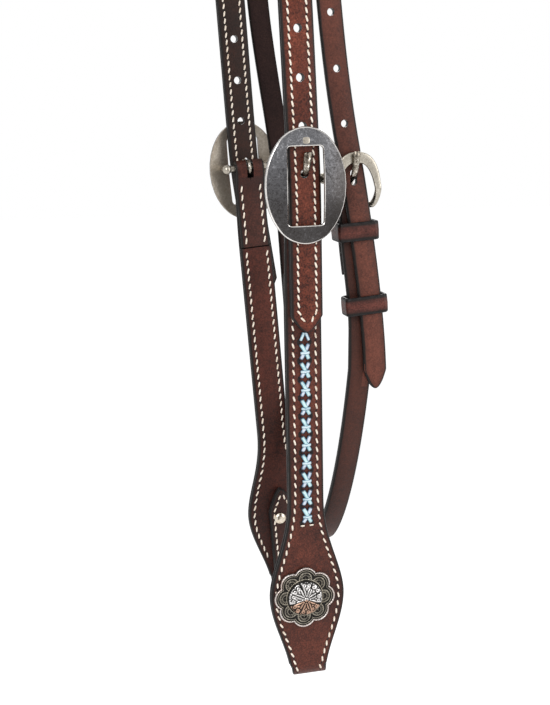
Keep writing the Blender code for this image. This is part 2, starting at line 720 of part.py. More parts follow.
def build_plate(name, pivot):
    """Domed oval round a window: a grid wrapped round it, then thickened."""
    rings = 3
    bm = bmesh.new()
    bmesh.ops.create_grid(bm, x_segments=PLATE_SIDES, y_segments=rings, size=1)
    power = 2 / WINDOW_SQUARENESS
    for vert in bm.verts:
        angle = math.pi * (vert.co.x + 1)
        out = (vert.co.y + 1) / 2
        c, s = math.cos(angle), math.sin(angle)
        window_x = WINDOW_HALF_WIDTH * math.copysign(abs(c) ** power, c)
        window_z = WINDOW_HALF_HEIGHT * math.copysign(abs(s) ** power, s)
        x = window_x + (PLATE_HALF_WIDTH * c - window_x) * out
        z = window_z + (PLATE_HALF_HEIGHT * s - window_z) * out
        vert.co = (x, plate_height(x, z), z - PLATE_BELOW_BAR)
    bmesh.ops.remove_doubles(bm, verts=bm.verts, dist=SEAM / 10)
    mesh = bpy.data.meshes.new(name)
    bm.to_mesh(mesh)
    bm.free()
    mesh.shade_smooth()
    mesh.set_sharp_from_angle(angle=math.radians(35))
    obj = add_object(name, mesh, metal(name), pivot)
    solid = obj.modifiers.new("Thickness", "SOLIDIFY")
    solid.thickness = PLATE_THICKNESS
    solid.offset = 0
    solid.use_even_offset = True
    return obj


def build_bar(name, pivot):
    """Bar across the buckle's back, with a post to the plate at each end."""
    back = plate_height(POST_REACH, PLATE_BELOW_BAR) - PLATE_THICKNESS / 2 - SEAM * 2
    points = [(-POST_REACH, back, 0), (-POST_REACH, 0, 0), (POST_REACH, 0, 0),
              (POST_REACH, back, 0)]
    bar = as_mesh(tube(name, points, BAR_RADIUS, metal(name), pivot))
    for sign in (-1, 1):
        bm = bmesh.new()
        bmesh.ops.create_uvsphere(bm, u_segments=10, v_segments=6, radius=POST_BALL_RADIUS,
                                  matrix=Matrix.Translation((sign * POST_REACH, 0, 0)))
        label = name + ("_ball_front" if sign < 0 else "_ball_rear")
        boolean(bar, add_cutter(label, bm, pivot), "UNION")
    return bar


def build_tongue(name, pivot):
    """Wire bent round the bar, out through the billet and up its face."""
    points = []
    for i in range(11):
        angle = math.radians(-75 - 195 * i / 10)
        points.append((0, TONGUE_EYE * math.cos(angle), TONGUE_EYE * math.sin(angle)))
    face = BAR_INSET + CROWN_HALF
    rest = face + TONGUE_RADIUS + TONGUE_LIFT
    reach = WINDOW_HALF_HEIGHT - PLATE_BELOW_BAR - TONGUE_TIP_GAP
    points += [(0, face - TONGUE_RADIUS, TONGUE_EYE),
               (0, face + TONGUE_RADIUS, TONGUE_EYE + TONGUE_RADIUS / 2),
               (0, rest, TONGUE_EYE + TONGUE_RADIUS * 2),
               (0, rest, reach)]
    return tube(name, points, TONGUE_RADIUS, metal(name), pivot)


def throat_stations():
    """The whole throat latch, from billet tip to the fold in its buckle."""
    half = THROAT_WIDTH / 2
    radius = HALF_SPREAD
    tip_z = -THROAT_TIP_DROP
    point = THROAT_WIDTH * 0.8
    rows = []
    near = [tip_z + d for d in tip_places(point)] + spaced(tip_z + point, SPRING_Z, STEP)[1:]
    for z in near:
        place = (near_throat_x(z), -near_throat_y(z), z)
        rows.append((place, point_half(z - tip_z, point, half)))
    count = ARCH_FLATS
    for i in range(1, count):
        y, z = arch_point(math.pi * i / count, radius)
        rows.append(((arch_x(i / count) + THROAT_SPACING, y, z), half))
    for z in spaced(SPRING_Z, -LOOP_START_DROP, STEP):
        rows.append(((off_throat_x(z), radius, z), half))
    lower_y = THROAT_REACH - THROAT_PLY
    off_x, near_x = off_throat_x(-LOOP_START_DROP), near_lower_x(-LOOP_START_DROP)
    turns = 14
    for i in range(1, 2 * turns):
        angle = math.pi / 2 * i / turns
        c, s = math.cos(angle), math.sin(angle)
        reach, side_x = (radius, off_x) if c > 0 else (lower_y, near_x)
        x = LOOP_BOTTOM_X + (side_x - LOOP_BOTTOM_X) * smooth_step(abs(c))
        rows.append(((x, reach * c, -LOOP_START_DROP - LOOP_DEPTH * s**LOOP_POWER), half))
    for z in spaced(-LOOP_START_DROP, -THROAT_BAR_DROP, STEP):
        rows.append(((near_lower_x(z), -lower_y, z), half))
    bar_y = THROAT_REACH - THROAT_BAR_INSET
    fold = THROAT_FOLD_RADIUS
    for y, z in arc(0, -THROAT_BAR_DROP, fold, 0, 180)[1:]:
        rows.append(((near_lower_x(-THROAT_BAR_DROP), -(bar_y + y), z), half))
    back = fold - THROAT_PLY
    low = -THROAT_BAR_DROP - THROAT_FOLD_EASE
    for y, z in ease((-fold, -THROAT_BAR_DROP), (back, low))[1:]:
        rows.append(((near_lower_x(z), -(bar_y + y), z), half))
    for z in spaced(low, -THROAT_BAR_DROP - THROAT_TURNBACK, STEP)[1:]:
        rows.append(((near_lower_x(z), -(bar_y + back), z), half))
    return rows


def build_throat(pivot):
    strap = ribbon("throat_strap", throat_stations(), THROAT_LEATHER,
                   leather("throat_strap", THROAT_BROWN))
    bm = bmesh.new()
    for i in range(THROAT_HOLES):
        z = THROAT_HOLE_Z + i * THROAT_HOLE_PITCH
        stretch = 0.0 if i else THROAT_HOLE_STRETCH
        place = (near_throat_x(z), -near_throat_y(z), z)
        length = THROAT_LEATHER + CUT_OVERRUN / 2
        drill(bm, place, (0, 1, 0), THROAT_HOLE_RADIUS, length, stretch)
    boolean(strap, add_cutter("throat_hole_cutter", bm))
    bm = bmesh.new()
    size = (THROAT_TONGUE_RADIUS * 2 + SEAM * 4,
            (THROAT_FOLD_RADIUS + THROAT_LEATHER) * 2, (THROAT_FOLD_RADIUS + THROAT_LEATHER) * 2)
    shape = Matrix.Diagonal((*size, 1))
    bmesh.ops.create_cube(bm, size=1, matrix=shape)
    boolean(strap, add_cutter("throat_slot_cutter", bm, pivot))
    build_throat_frame(pivot)
    build_throat_tongue(pivot)


def frame_face():
    """How far out the frame's front lies from the throat bar's axis."""
    return THROAT_BAR_INSET + THROAT_LEATHER / 2 + SEAM + THROAT_BAR_RADIUS


def build_throat_frame(pivot):
    """One bent ring: its foot is the bar, its arch lies over the billet."""
    half, rise, front = THROAT_FRAME_HALF, THROAT_FRAME_RISE, frame_face()
    side = [(half, 0, 0), (half, front * 0.45, rise * 0.22), (half, front * 0.95, rise * 0.5),
            (half * 0.98, front, rise * 0.74), (half * 0.84, front, rise * 0.88),
            (half * 0.55, front, rise * 0.97), (half * 0.2, front, rise)]
    points = side + [(-x, y, z) for x, y, z in reversed(side)]
    return tube("throat_buckle_frame", points, THROAT_BAR_RADIUS,
                metal("throat_buckle_frame"), pivot, cyclic=True)


def build_throat_tongue(pivot):
    """Wire round the throat bar, out through the billet, over the arch."""
    eye, wire = THROAT_EYE, THROAT_TONGUE_RADIUS
    points = []
    for i in range(9):
        angle = math.radians(-40 - 160 * i / 8)
        points.append((0, eye * math.cos(angle), eye * math.sin(angle)))
    behind = THROAT_BAR_INSET - THROAT_LEATHER / 2 - wire - SEAM * 3
    front = frame_face() + THROAT_BAR_RADIUS + wire + SEAM
    hole = THROAT_HOLE_RISE
    points += [(0, behind * 0.55, eye * 1.9), (0, behind, hole - wire * 3),
               (0, THROAT_BAR_INSET, hole),
               (0, THROAT_BAR_INSET + THROAT_LEATHER / 2 + wire, hole + wire * 2),
               (0, front, THROAT_FRAME_RISE - THROAT_BAR_RADIUS),
               (0, front, THROAT_FRAME_RISE + THROAT_BAR_RADIUS / 2)]
    return tube("throat_tongue", points, wire, metal("throat_tongue"), pivot)


def ring_outline(half_x, low, high, corner):
    """A rectangle with cut corners."""
    return [(half_x - corner, low), (half_x, low + corner), (half_x, high - corner),
            (half_x - corner, high), (-half_x + corner, high), (-half_x, high - corner),
            (-half_x, low + corner), (-half_x + corner, low)]


def build_keeper(name, drop, plies):
    """A leather ring round the billet and the strap behind it."""
    z = -drop
    x = (near_throat_x(z) + near_lower_x(z)) / 2
    step = STEP
    lean = math.atan((near_lower_x(z - step) - near_lower_x(z + step)) / (2 * step))
    pivot = add_pivot(name + "_path", (x, -near_throat_y(z), z), lean, True)
    high = THROAT_LEATHER / 2 + KEEPER_CLEARANCE
    low = -(THROAT_LEATHER / 2 + plies * THROAT_PLY + KEEPER_CLEARANCE)
    ends = (z - KEEPER_HEIGHT / 2, z + KEEPER_HEIGHT / 2)
    apart = max(abs(near_throat_x(end) - near_lower_x(end)) for end in ends)
    half = (apart + THROAT_WIDTH) / 2 + KEEPER_EASE
    wall = KEEPER_WALL
    outer = ring_outline(half + wall, low - wall, high + wall, wall / 2)
    inner = ring_outline(half, low, high, wall / 4)
    return flat_plate(name, [outer, inner], KEEPER_HEIGHT, leather(name, THROAT_BROWN), pivot)


def brow_ends(near):
    """Front and rear edges of both straps inside a browband loop."""
    z = -BROW_DROP
    crown = near_crown_x(z) if near else off_crown_x(z)
    throat = near_throat_x(z) if near else off_throat_x(z)
    return (crown - CROWN_WIDTH / 2 - BROW_LOOP_SIDE, throat + THROAT_WIDTH / 2 + BROW_LOOP_SIDE)


def brow_loop(near):
    """Plan points (x, distance from the middle) of one end loop."""
    front, rear = brow_ends(near)
    inner = HALF_SPREAD - CROWN_HALF - BROW_LOOP_FACE - LAYER / 2
    outer = HALF_SPREAD + CROWN_HALF + BROW_LOOP_FACE + LAYER / 2
    turn = (outer - inner) / 2
    middle = (outer + inner) / 2
    tail = front - BROW_SETBACK
    points = [(x, outer - PLY) for x in spaced(tail, front - BROW_EASE, STEP)]
    for i in range(1, 7):
        t = i / 6
        points.append((front - BROW_EASE * (1 - t),
                       outer - PLY + (inner - outer + PLY) * smooth_step(t)))
    points += [(x, inner) for x in spaced(front, rear - turn, STEP)[1:]]
    for i in range(1, 9):
        angle = -math.pi / 2 + math.pi * i / 8
        points.append((rear - turn + turn * math.cos(angle), middle + turn * math.sin(angle)))
    points += [(x, outer) for x in spaced(rear - turn, tail, STEP)[1:]]
    return points


def brow_bow():
    """Plan points of the bow round the forehead, near to off."""
    near_x = brow_ends(True)[0] - BROW_SETBACK
    off_x = brow_ends(False)[0] - BROW_SETBACK
    outer = HALF_SPREAD + CROWN_HALF + BROW_LOOP_FACE + LAYER / 2
    points = []
    count = 30
    for i in range(count + 1):
        angle = math.pi * i / count
        back = (near_x + off_x) / 2 + (near_x - off_x) / 2 * math.cos(angle)
        points.append((back - BROW_BOW * math.sin(angle), -outer * math.cos(angle)))
    return points


def inside_line(points, offset):
    """The points between two ends, moved in square to both of their flats."""
    places = [Vector(point) for point in points]
    moved = []
    for before, here, after in zip(places, places[1:], places[2:]):
        first, second = (here - before).normalized(), (after - here).normalized()
        mitre = Vector((first.y + second.y, -first.x - second.x)).normalized()
        share = mitre.x * first.y - mitre.y * first.x
        moved.append(here + mitre * offset / share)
    return moved


def build_browband(pivot):
    near = [(x, -y) for x, y in brow_loop(True)]
    off = [(x, y) for x, y in reversed(brow_loop(False))]
    plan = near + brow_bow()[1:-1] + off
    z = 0
    half = BROW_HEIGHT / 2
    rows = [((x, y, z), half) for x, y in plan]
    band = ribbon("browband", rows, LAYER, leather("browband"), pivot, AXIS_Z)
    inside = inside_line(brow_bow(), PLY)[1:-1]
    rows = [((x, y, z), BROW_LINING_HEIGHT / 2) for x, y in inside]
    ribbon("browband_lining", rows, LAYER, leather("browband_lining", LINING), pivot, AXIS_Z)
    outer = HALF_SPREAD + CROWN_HALF + BROW_LOOP_FACE + LAYER
    bm = bmesh.new()
    for sign, is_near in ((-1, True), (1, False)):
        x = brow_ends(is_near)[0] - (BROW_SETBACK + BROW_EASE) / 2
        place = (x, sign * (outer - PLY), z)
        drill(bm, place, (0, 1, 0), BROW_SCREW_RADIUS + SEAM, PLY * 2 + CUT_OVERRUN)
        name = "near_browband_screw" if is_near else "off_browband_screw"
        build_brow_screw(name, pivot, x, sign, outer)
    boolean(band, add_cutter("browband_hole_cutter", bm, pivot))


def build_brow_screw(name, pivot, x, sign, outer):
    """Screw post with a low dome head outside and a flat foot inside."""
    inside = -(LAYER * 2 + SEAM + SEAM)
    shank, head, dome = BROW_SCREW_RADIUS, BROW_SCREW_HEAD, BROW_SCREW_DOME
    profile = [(0, SEAM + dome), (head * 0.6, SEAM + dome * 0.75), (head, SEAM), (shank, SEAM),
               (shank, inside), (head, inside), (head, inside - dome / 2), (0, inside - dome / 2)]
    obj = turned(name, profile, metal(name), pivot)
    turn = Matrix.Rotation(-sign * math.pi / 2, 4, "X")
    obj.matrix_basis = Matrix.Translation((x, sign * outer, 0)) @ turn
    return obj


def main():
    crown_holes = crown_hole_cutter()
    for name, offset, color in (("crown_strap", PLY / 2, LEATHER), ("crown_lining", -PLY / 2, LINING)):
        strap = ribbon(name, crown_stations(offset), LAYER, leather(name, color))
        boolean(strap, crown_holes)
    bar_y = HALF_SPREAD - BAR_INSET
    for side, near in (("near", True), ("off", False)):
        sign = -1 if near else 1
        x, lean = (NEAR_CHEEK_X, NEAR_CHEEK_LEAN) if near else (OFF_CHEEK_X, OFF_CHEEK_LEAN)
        place = (x, sign * bar_y, -BAR_DROP)
        buckle = add_pivot(side + "_buckle_frame", place, lean, near)
        build_plate(side + "_buckle_plate", buckle)
        build_bar(side + "_buckle_bar", buckle)
        build_tongue(side + "_tongue", buckle)
        build_cheek(side, add_pivot(side + "_cheek_pivot", place, lean, near), near)
    throat_y = -(THROAT_REACH - THROAT_BAR_INSET)
    throat = add_pivot("throat_buckle_pivot", (FRAME_X, throat_y, -THROAT_BAR_DROP),
                       THROAT_FRAME_LEAN, True)
    build_throat(throat)
    build_keeper("upper_keeper", THROAT_BAR_DROP + UPPER_KEEPER_BELOW_BAR, 2)
    build_keeper("lower_keeper", THROAT_BAR_DROP + LOWER_KEEPER_BELOW_BAR, 1)
    brow = bpy.data.objects.new("browband_slide", None)
    brow.location = (0, 0, -BROW_DROP)
    parts.objects.link(brow)
    build_browband(brow)


clear_scene()
parts = new_collection("western_headstall")
cutters = new_collection("cutters")
main()
bpy.context.view_layer.update()
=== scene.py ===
"""Looks of the western headstall: fine leather, stitching, lacing and metal."""

import bisect
import math
import random

import bmesh
import bpy
from mathutils import Matrix, Vector
from mathutils.kdtree import KDTree


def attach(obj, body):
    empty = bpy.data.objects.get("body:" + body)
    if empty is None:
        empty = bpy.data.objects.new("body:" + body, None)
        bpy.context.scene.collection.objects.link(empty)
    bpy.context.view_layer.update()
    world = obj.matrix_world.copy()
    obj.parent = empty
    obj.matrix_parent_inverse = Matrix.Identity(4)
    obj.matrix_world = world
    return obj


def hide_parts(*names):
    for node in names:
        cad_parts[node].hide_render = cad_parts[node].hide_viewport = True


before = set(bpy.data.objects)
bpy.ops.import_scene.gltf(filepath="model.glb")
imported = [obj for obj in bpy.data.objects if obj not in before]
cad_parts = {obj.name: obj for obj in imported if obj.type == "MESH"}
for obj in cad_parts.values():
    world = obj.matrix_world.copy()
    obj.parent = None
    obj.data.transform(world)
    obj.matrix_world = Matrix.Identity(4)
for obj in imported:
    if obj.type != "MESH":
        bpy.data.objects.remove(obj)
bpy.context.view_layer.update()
MM = 0.001
AXIS_X, AXIS_Y, AXIS_Z = Vector((1, 0, 0)), Vector((0, 1, 0)), Vector((0, 0, 1))
SIDES = (("near", -1), ("off", 1))

# Sizes of the model that the looks are fitted to
SEAM = 0.3 * MM
LAYER = 2.3 * MM
THROAT_LEATHER = 3.4 * MM
HALF_SPREAD = 61.0 * MM
CROWN_WIDTH = 16.2 * MM
CROWN_X = 17.1 * MM
CROWN_LEAN = {"near": (math.radians(3.4), math.radians(1.2)),
              "off": (math.radians(4.6), math.radians(9.8))}
LEAN_EASE = 12.0 * MM
BILLET_DROP = 75.2 * MM
BILLET_POINT = 8.5 * MM
HOLE_RADIUS = 2.1 * MM
CROWN_HOLE_PITCH = 22.8 * MM
CROWN_HOLES = 4
BAR_DROP = 253.2 * MM
BAR_RADIUS = 1.7 * MM
POST_REACH = 12.6 * MM
POST_BALL_RADIUS = 2.7 * MM
PLATE_HALF_WIDTH = 20.6 * MM
PLATE_HALF_HEIGHT = 28.4 * MM
PLATE_BELOW_BAR = 2.4 * MM
PLATE_THICKNESS = 2.0 * MM
PLATE_DOME = 3.0 * MM
PLATE_BEVEL = 0.55 * MM
WINDOW_HALF_WIDTH = 9.1 * MM
WINDOW_SHIFT = 0.5 * MM
WINDOW_HALF_HEIGHT = 19.0 * MM
WINDOW_CORNER = 1.9 * MM
TONGUE_RADIUS = 1.15 * MM
TONGUE_LIFT = 0.9 * MM
TONGUE_TIP_GAP = 2.8 * MM
CHEEK_X = {"near": 16.8 * MM, "off": 17.65 * MM}
CHEEK_LEAN = {"near": math.radians(1.2), "off": math.radians(5.3)}
CHEEK_WIDTH = 18.7 * MM
FOLD_WIDTH = 16.8 * MM
LOBE_WIDTH = 39.8 * MM
BIT_END_WIDTH = 18.6 * MM
FLAP_WIDTH = 16.2 * MM
BIT_DROP = 263.2 * MM
LOBE_DROP = 216.6 * MM
FLARE_LENGTH = 54.0 * MM
TURNBACK = 46.0 * MM
FOLD_EASE = 14.0 * MM
BIT_BORE = 6.0 * MM
LOOP_EASE = 22.0 * MM
FLAP_RISE = 18.0 * MM
FLAP_POINT = 14.0 * MM
FLAP_SKEW = {"near": -5.0 * MM, "off": 0.0}
RISE = {"near": 0.0, "off": 5.0 * MM}
SLOT_HALF_WIDTH = 1.9 * MM
SLOT_REACH = 7.6 * MM
LACE_PITCH = 9.6 * MM
LACE_HALF_WIDTH = 3.1 * MM
LACE_CROSSES = 10
LACE_FIRST_DROP = 85.5 * MM
LACE_JITTER = 0.12 * MM
CONCHO_RADIUS = 16.4 * MM
CONCHO_LOBES = 8
CONCHO_DOME_HEIGHT = 3.6 * MM
CONCHO_DOME_CARVED = 9.4 * MM
CONCHO_SHIFT = {"near": 2.2 * MM, "off": -2.2 * MM}
SCREW_HEAD_RADIUS = 3.6 * MM
SCREW_HEAD_HEIGHT = 1.9 * MM
SCREW_SHANK = 2.0 * MM
THROAT_WIDTH = 12.2 * MM
STRAP_GAP = 1.6 * MM
THROAT_TUCK = 3.2 * MM
TUCK_TOP = 165.0 * MM
TUCK_RUN = 70.0 * MM
SPLAY_TOP = 135.0 * MM
SPLAY_POWER = 1.1
OFF_SPLAY_TOP = 150.0 * MM
OFF_SPLAY_BAR_SHARE = 0.794
OFF_POST_CLEARANCE = 1.2 * MM
NEAR_POST_CLEARANCE = 0.45 * MM
THROAT_TIP_DROP = 360.0 * MM
THROAT_BAR_DROP = 267.0 * MM
THROAT_BAR_RADIUS = 1.8 * MM
THROAT_FRAME_HALF = 10.2 * MM
THROAT_FRAME_RISE = 26.6 * MM
THROAT_FRAME_LEAN = math.radians(1.6)
THROAT_TONGUE_RADIUS = 1.1 * MM
THROAT_HOLE_RISE = 14.7 * MM
THROAT_HOLE_STRETCH = 2.2 * MM
THROAT_HOLE_PITCH = 26.1 * MM
THROAT_HOLES = 4
THROAT_TURNBACK = 34.0 * MM
THROAT_FOLD_EASE = 6.6 * MM
LOWER_SHIFT = 5.8 * MM
LOWER_SHIFT_RUN = 65.0 * MM
LOOP_START_DROP = 350.0 * MM
LOOP_DEPTH = 108.0 * MM
LOOP_BOTTOM_X = 44.0 * MM
LOOP_POWER = 2.0
KEEPER_WALL = 1.6 * MM
KEEPER_HEIGHT = 9.5 * MM
KEEPER_EASE = 0.9 * MM
KEEPER_CLEARANCE = 0.4 * MM
KEEPER_CORNER = 1.7 * MM
KEEPER_DROPS = {"upper_keeper": 279.0 * MM, "lower_keeper": 316.3 * MM}
BROW_DROP = 145.0 * MM
BROW_HEIGHT = 22.0 * MM
BROW_LINING_HEIGHT = 20.0 * MM
BROW_BOW = 150.0 * MM
BROW_LOOP_SIDE = 4.0 * MM
BROW_LOOP_FACE = 0.6 * MM
BROW_SETBACK = 24.0 * MM
BROW_EASE = 11.0 * MM
BROW_SCREW_HEAD = 4.2 * MM
BROW_SCREW_DOME = 1.4 * MM

CROWN_HALF = LAYER + SEAM / 2
PLY = LAYER + SEAM
THROAT_PLY = THROAT_LEATHER + SEAM
SPRING_Z = -(HALF_SPREAD - CROWN_HALF)
FOLD_RADIUS = BAR_RADIUS + SEAM + LAYER / 2
CHEEK_FACE = FOLD_RADIUS + LAYER / 2 + SEAM
BAR_INSET = CROWN_HALF + SEAM + FOLD_RADIUS + LAYER / 2
BILLET_TIP_Z = -(BAR_DROP + BILLET_DROP)
THROAT_SPACING = CROWN_WIDTH / 2 + THROAT_WIDTH / 2 + STRAP_GAP
BIT_RADIUS = BIT_BORE / 2 + PLY + LAYER / 2
BIT_CENTRE_Z = -(BIT_DROP - BIT_RADIUS - LAYER / 2)
TONGUE_EYE = BAR_RADIUS + SEAM + TONGUE_RADIUS
THROAT_FOLD_RADIUS = THROAT_BAR_RADIUS + SEAM + THROAT_LEATHER / 2
THROAT_REACH = HALF_SPREAD - THROAT_TUCK
THROAT_BAR_INSET = THROAT_PLY + THROAT_FOLD_RADIUS
THROAT_EYE = THROAT_BAR_RADIUS + SEAM + THROAT_TONGUE_RADIUS
THROAT_HOLE_Z = -(THROAT_BAR_DROP - THROAT_HOLE_RISE)
THROAT_HOLE_RADIUS = THROAT_TONGUE_RADIUS * 1.65
OFF_SPLAY_RUN = (BAR_DROP - OFF_SPLAY_TOP) / OFF_SPLAY_BAR_SHARE
FRAME_X = (CHEEK_X["near"] + POST_REACH + BAR_RADIUS + NEAR_POST_CLEARANCE
           + THROAT_BAR_RADIUS + THROAT_FRAME_HALF)
BROW_OUTER = HALF_SPREAD + CROWN_HALF + BROW_LOOP_FACE + LAYER / 2

# Fineness of the made surfaces
ROW_STEP = 2.0 * MM
LEAST_STEP = 0.02 * MM
ARC_STEPS = 28
ARCH_STEPS = 72
LOOP_STEPS = 56
BOW_STEPS = 150
EASE_STEPS = 14
CORNER_STEPS = 9
CONCHO_RINGS = 92
CONCHO_SECTORS = 288
EDGE_ROUND = 0.95 * MM
BLUNT_END = 0.8 * MM

# Stitching, measured on the strap
THREAD_RADIUS = 0.5 * MM
THREAD_LIFT = 0.1 * MM
THREAD_RISE = 0.22 * MM
AWL_HOLE = (0.62 * MM, 0.5 * MM)
SPACING_JITTER = 0.12 * MM
SLANT_JITTER = 0.05
WALK_STEP = 0.5 * MM
CROWN_PITCH = 3.9 * MM
CHEEK_PITCH = 4.5 * MM
FLAP_PITCH = 3.8 * MM
STITCH_SHARE = 0.72
ROW_INSET = 3.5 * MM
ROW_TIP = 3.9 * MM
ROW_CLOSING = 7.5 * MM


# ---------------------------------------------------------------- materials
class Value:
    """A node's output that takes plain arithmetic."""

    def __init__(self, nodes, socket):
        self.nodes, self.socket = nodes, socket

    def math(self, operation, first, second):
        made = self.nodes.add("Math", {0: first, 1: second}, operation=operation)
        return Value(self.nodes, made.outputs[0])

    def __add__(self, other):
        return self.math("ADD", self, other)

    def __sub__(self, other):
        return self.math("SUBTRACT", self, other)

    def __rsub__(self, other):
        return self.math("SUBTRACT", other, self)

    def __mul__(self, other):
        return self.math("MULTIPLY", self, other)

    def ramp(self, low, high, to_low=0.0, to_high=1.0):
        """A smooth change from to_low at low to to_high at high."""
        names = ("Value", "From Min", "From Max", "To Min", "To Max")
        made = self.nodes.add("MapRange", dict(zip(names, (self, low, high, to_low, to_high))),
                              clamp=True, interpolation_type="SMOOTHSTEP")
        return Value(self.nodes, made.outputs["Result"])


class Nodes:
    """Short ways to build the node tree of a material or a world."""

    def __init__(self, owner):
        owner.use_nodes = True
        self.owner, self.tree = owner, owner.node_tree

    def add(self, kind, inputs=(), **settings):
        made = self.tree.nodes.new("ShaderNode" + kind)
        for key, value in settings.items():
            setattr(made, key, value)
        self.fill(made, inputs)
        return made

    def fill(self, made, inputs):
        """Set a node's inputs to numbers and colours, or link them to values."""
        for key, value in dict(inputs).items():
            if isinstance(value, Value):
                self.tree.links.new(value.socket, made.inputs[key])
            else:
                made.inputs[key].default_value = value

    def seen(self):
        """1 for a ray that shows the background: straight, mirrored or through glass."""
        path = self.add("LightPath").outputs
        camera, glossy, through = (Value(self, path[f"Is {kind} Ray"])
                                   for kind in ("Camera", "Glossy", "Transmission"))
        return camera.math("MAXIMUM", camera, glossy.math("MAXIMUM", glossy, through))


class Look(Nodes):
    """A material in the making."""

    def __init__(self, name):
        super().__init__(bpy.data.materials.new(name))
        self.shader = self.tree.nodes["Principled BSDF"]
        self.where = Value(self, self.add("TexCoord").outputs["Object"])

    def texture(self, kind, output, inputs, **settings):
        made = self.add("Tex" + kind, {**inputs, "Vector": self.where}, **settings)
        return Value(self, made.outputs[output])

    def noise(self, scale, detail=3.0, rough=0.55):
        return self.texture("Noise", "Fac", {"Scale": scale, "Detail": detail, "Roughness": rough})

    def cells(self, scale, feature="F1"):
        return self.texture("Voronoi", "Distance", {"Scale": scale}, feature=feature)

    def parts(self, vector):
        return [Value(self, socket) for socket in self.add("SeparateXYZ", {0: vector}).outputs]

    def stored(self, name):
        """The three parts of a vector that the mesh stores at its vertices."""
        return self.parts(Value(self, self.add("Attribute", attribute_name=name).outputs["Vector"]))

    def mix(self, factor, first, second, blend="MIX"):
        made = self.add("Mix", {0: factor, 6: first, 7: second}, data_type="RGBA", blend_type=blend)
        return Value(self, made.outputs[2])

    def tones(self, tone, colors, low, middle, high):
        """Dark, middle and light colour along a tone."""
        color = self.mix(tone.ramp(low, middle), colors[0], colors[1])
        return self.mix(tone.ramp(middle, high), color, colors[2])

    def finish(self, color, rough, relief=None, specular=0.5, metallic=0.0):
        """Feed the shader; relief is (height, depth, strength)."""
        self.fill(self.shader, {"Base Color": color, "Roughness": rough,
                                "Specular IOR Level": specular, "Metallic": metallic})
        if relief:
            made = self.add("Bump", dict(zip(("Height", "Distance", "Strength"), relief)))
            self.tree.links.new(made.outputs["Normal"], self.shader.inputs["Normal"])
        return self.owner


def rgb(*display):
    """A colour given in display values from 0 to 255."""
    def linear(value):
        value /= 255.0
        return value / 12.92 if value <= 0.04045 else ((value + 0.055) / 1.055) ** 2.4
    return tuple(linear(value) for value in display) + (1.0,)


def deeper(color, share):
    return tuple(part * share for part in color[:3]) + (1.0,)


def leather(name, *colors, roughness=0.46, edge_band=1.15 * MM, bare=0.0, painted_shade_run=None):
    """Oiled leather: pores, fine creases, uneven dye, near-black burnished edges."""
    look = Look(name)
    dark = colors[0]
    fibre = look.noise(300.0, 4.0, 0.65)
    tone = look.noise(24.0) * 0.36 + fibre * 0.24 + look.noise(1250.0, 3.0, 0.6) * 0.40
    color = look.tones(tone, colors, 0.40, 0.50, 0.60)
    pits = look.cells(1500.0).ramp(0.05, 0.36)
    color = look.mix((1.0 - pits) * 0.30, color, dark, "MULTIPLY")
    _, along, edge = look.stored("lay")
    edge = edge + (look.noise(190.0) - 0.5) * (0.7 * MM)
    # the leather darkens towards the edges, from wear
    paleness = edge.ramp(edge_band, edge_band + 2.6 * MM)
    color = look.mix((1.0 - paleness) * 0.5, color, dark)
    color = look.mix(look.noise(9.0, 1.0).ramp(0.36, 0.64, 0.0, 0.30), color, dark)
    # painted shade: the leather darkens along the given run of its length
    if painted_shade_run:
        color = look.mix(along.ramp(*painted_shade_run), color, deeper(colors[1], 0.12))
    color = look.mix(edge.ramp(edge_band * 0.62, edge_band * 1.25), EDGE_BLACK, color)
    creases = look.cells(620.0, "DISTANCE_TO_EDGE").ramp(0.0, 0.12)
    grain = pits * 0.45 + creases * 0.35 + fibre * (0.9 + bare)
    return look.finish(color, tone.ramp(0.35, 0.65, roughness - 0.06, roughness + 0.10),
                       (grain, (0.10 + 0.10 * bare) * MM, 0.6), 0.24 - 0.14 * bare)


def burnished_edge(name):
    """Cut edge: near black, waxed, with the layers' fine lines."""
    look = Look(name)
    speck = look.noise(420.0, 4.0, 0.6)
    color = look.mix(speck.ramp(0.42, 0.62), rgb(15, 13, 14), rgb(33, 29, 29))
    return look.finish(color, speck.ramp(0.35, 0.65, 0.34, 0.52), (speck, 0.12 * MM, 0.5), 0.22)


def waxed_thread(name, color, dark):
    """Thread with a fine twist and a little dirt."""
    look = Look(name)
    twist = look.texture("Wave", "Fac", {"Scale": 520.0, "Distortion": 1.0},
                         wave_type="BANDS", bands_direction="DIAGONAL")
    shade = look.mix(look.noise(700.0, 2.0).ramp(0.30, 0.55), dark, color)
    return look.finish(shade, 0.6, (twist, 0.12 * MM, 0.5), 0.3)


def metal(name, *colors, roughness=0.22, mottle=55.0, spread=(0.36, 0.64), painted_foot_reflection=None, rear=None):
    """Plated metal: mottled tone, smears, tiny dents, a painted darker reflection at the foot and painted
    shade towards the rear.
    """
    look = Look(name)
    fine = look.noise(700.0, 3.0, 0.6)
    tone = look.noise(mottle, 5.0, 0.62) * 0.42 + fine * 0.30 + look.noise(1500.0, 2.0, 0.6) * 0.28
    color = look.tones(tone, colors, spread[0], 0.5, spread[1])
    # painted reflection and shade: darker and browner towards the bottom and towards +x
    if painted_foot_reflection:
        x, _, z = look.parts(look.where)
        wave = (look.noise(26.0, 2.0) - 0.5) * 0.03
        color = look.mix((z + wave).ramp(*painted_foot_reflection), color, rgb(48, 42, 37))
        color = look.mix((x + wave).ramp(*rear), color, rgb(46, 42, 39))
    dents = look.noise(190.0, 3.0) * 0.8 + fine * 0.2
    return look.finish(color, tone.ramp(0.3, 0.7, roughness + 0.08, roughness - 0.05),
                       (dents, 0.06 * MM, 0.35), metallic=1.0)


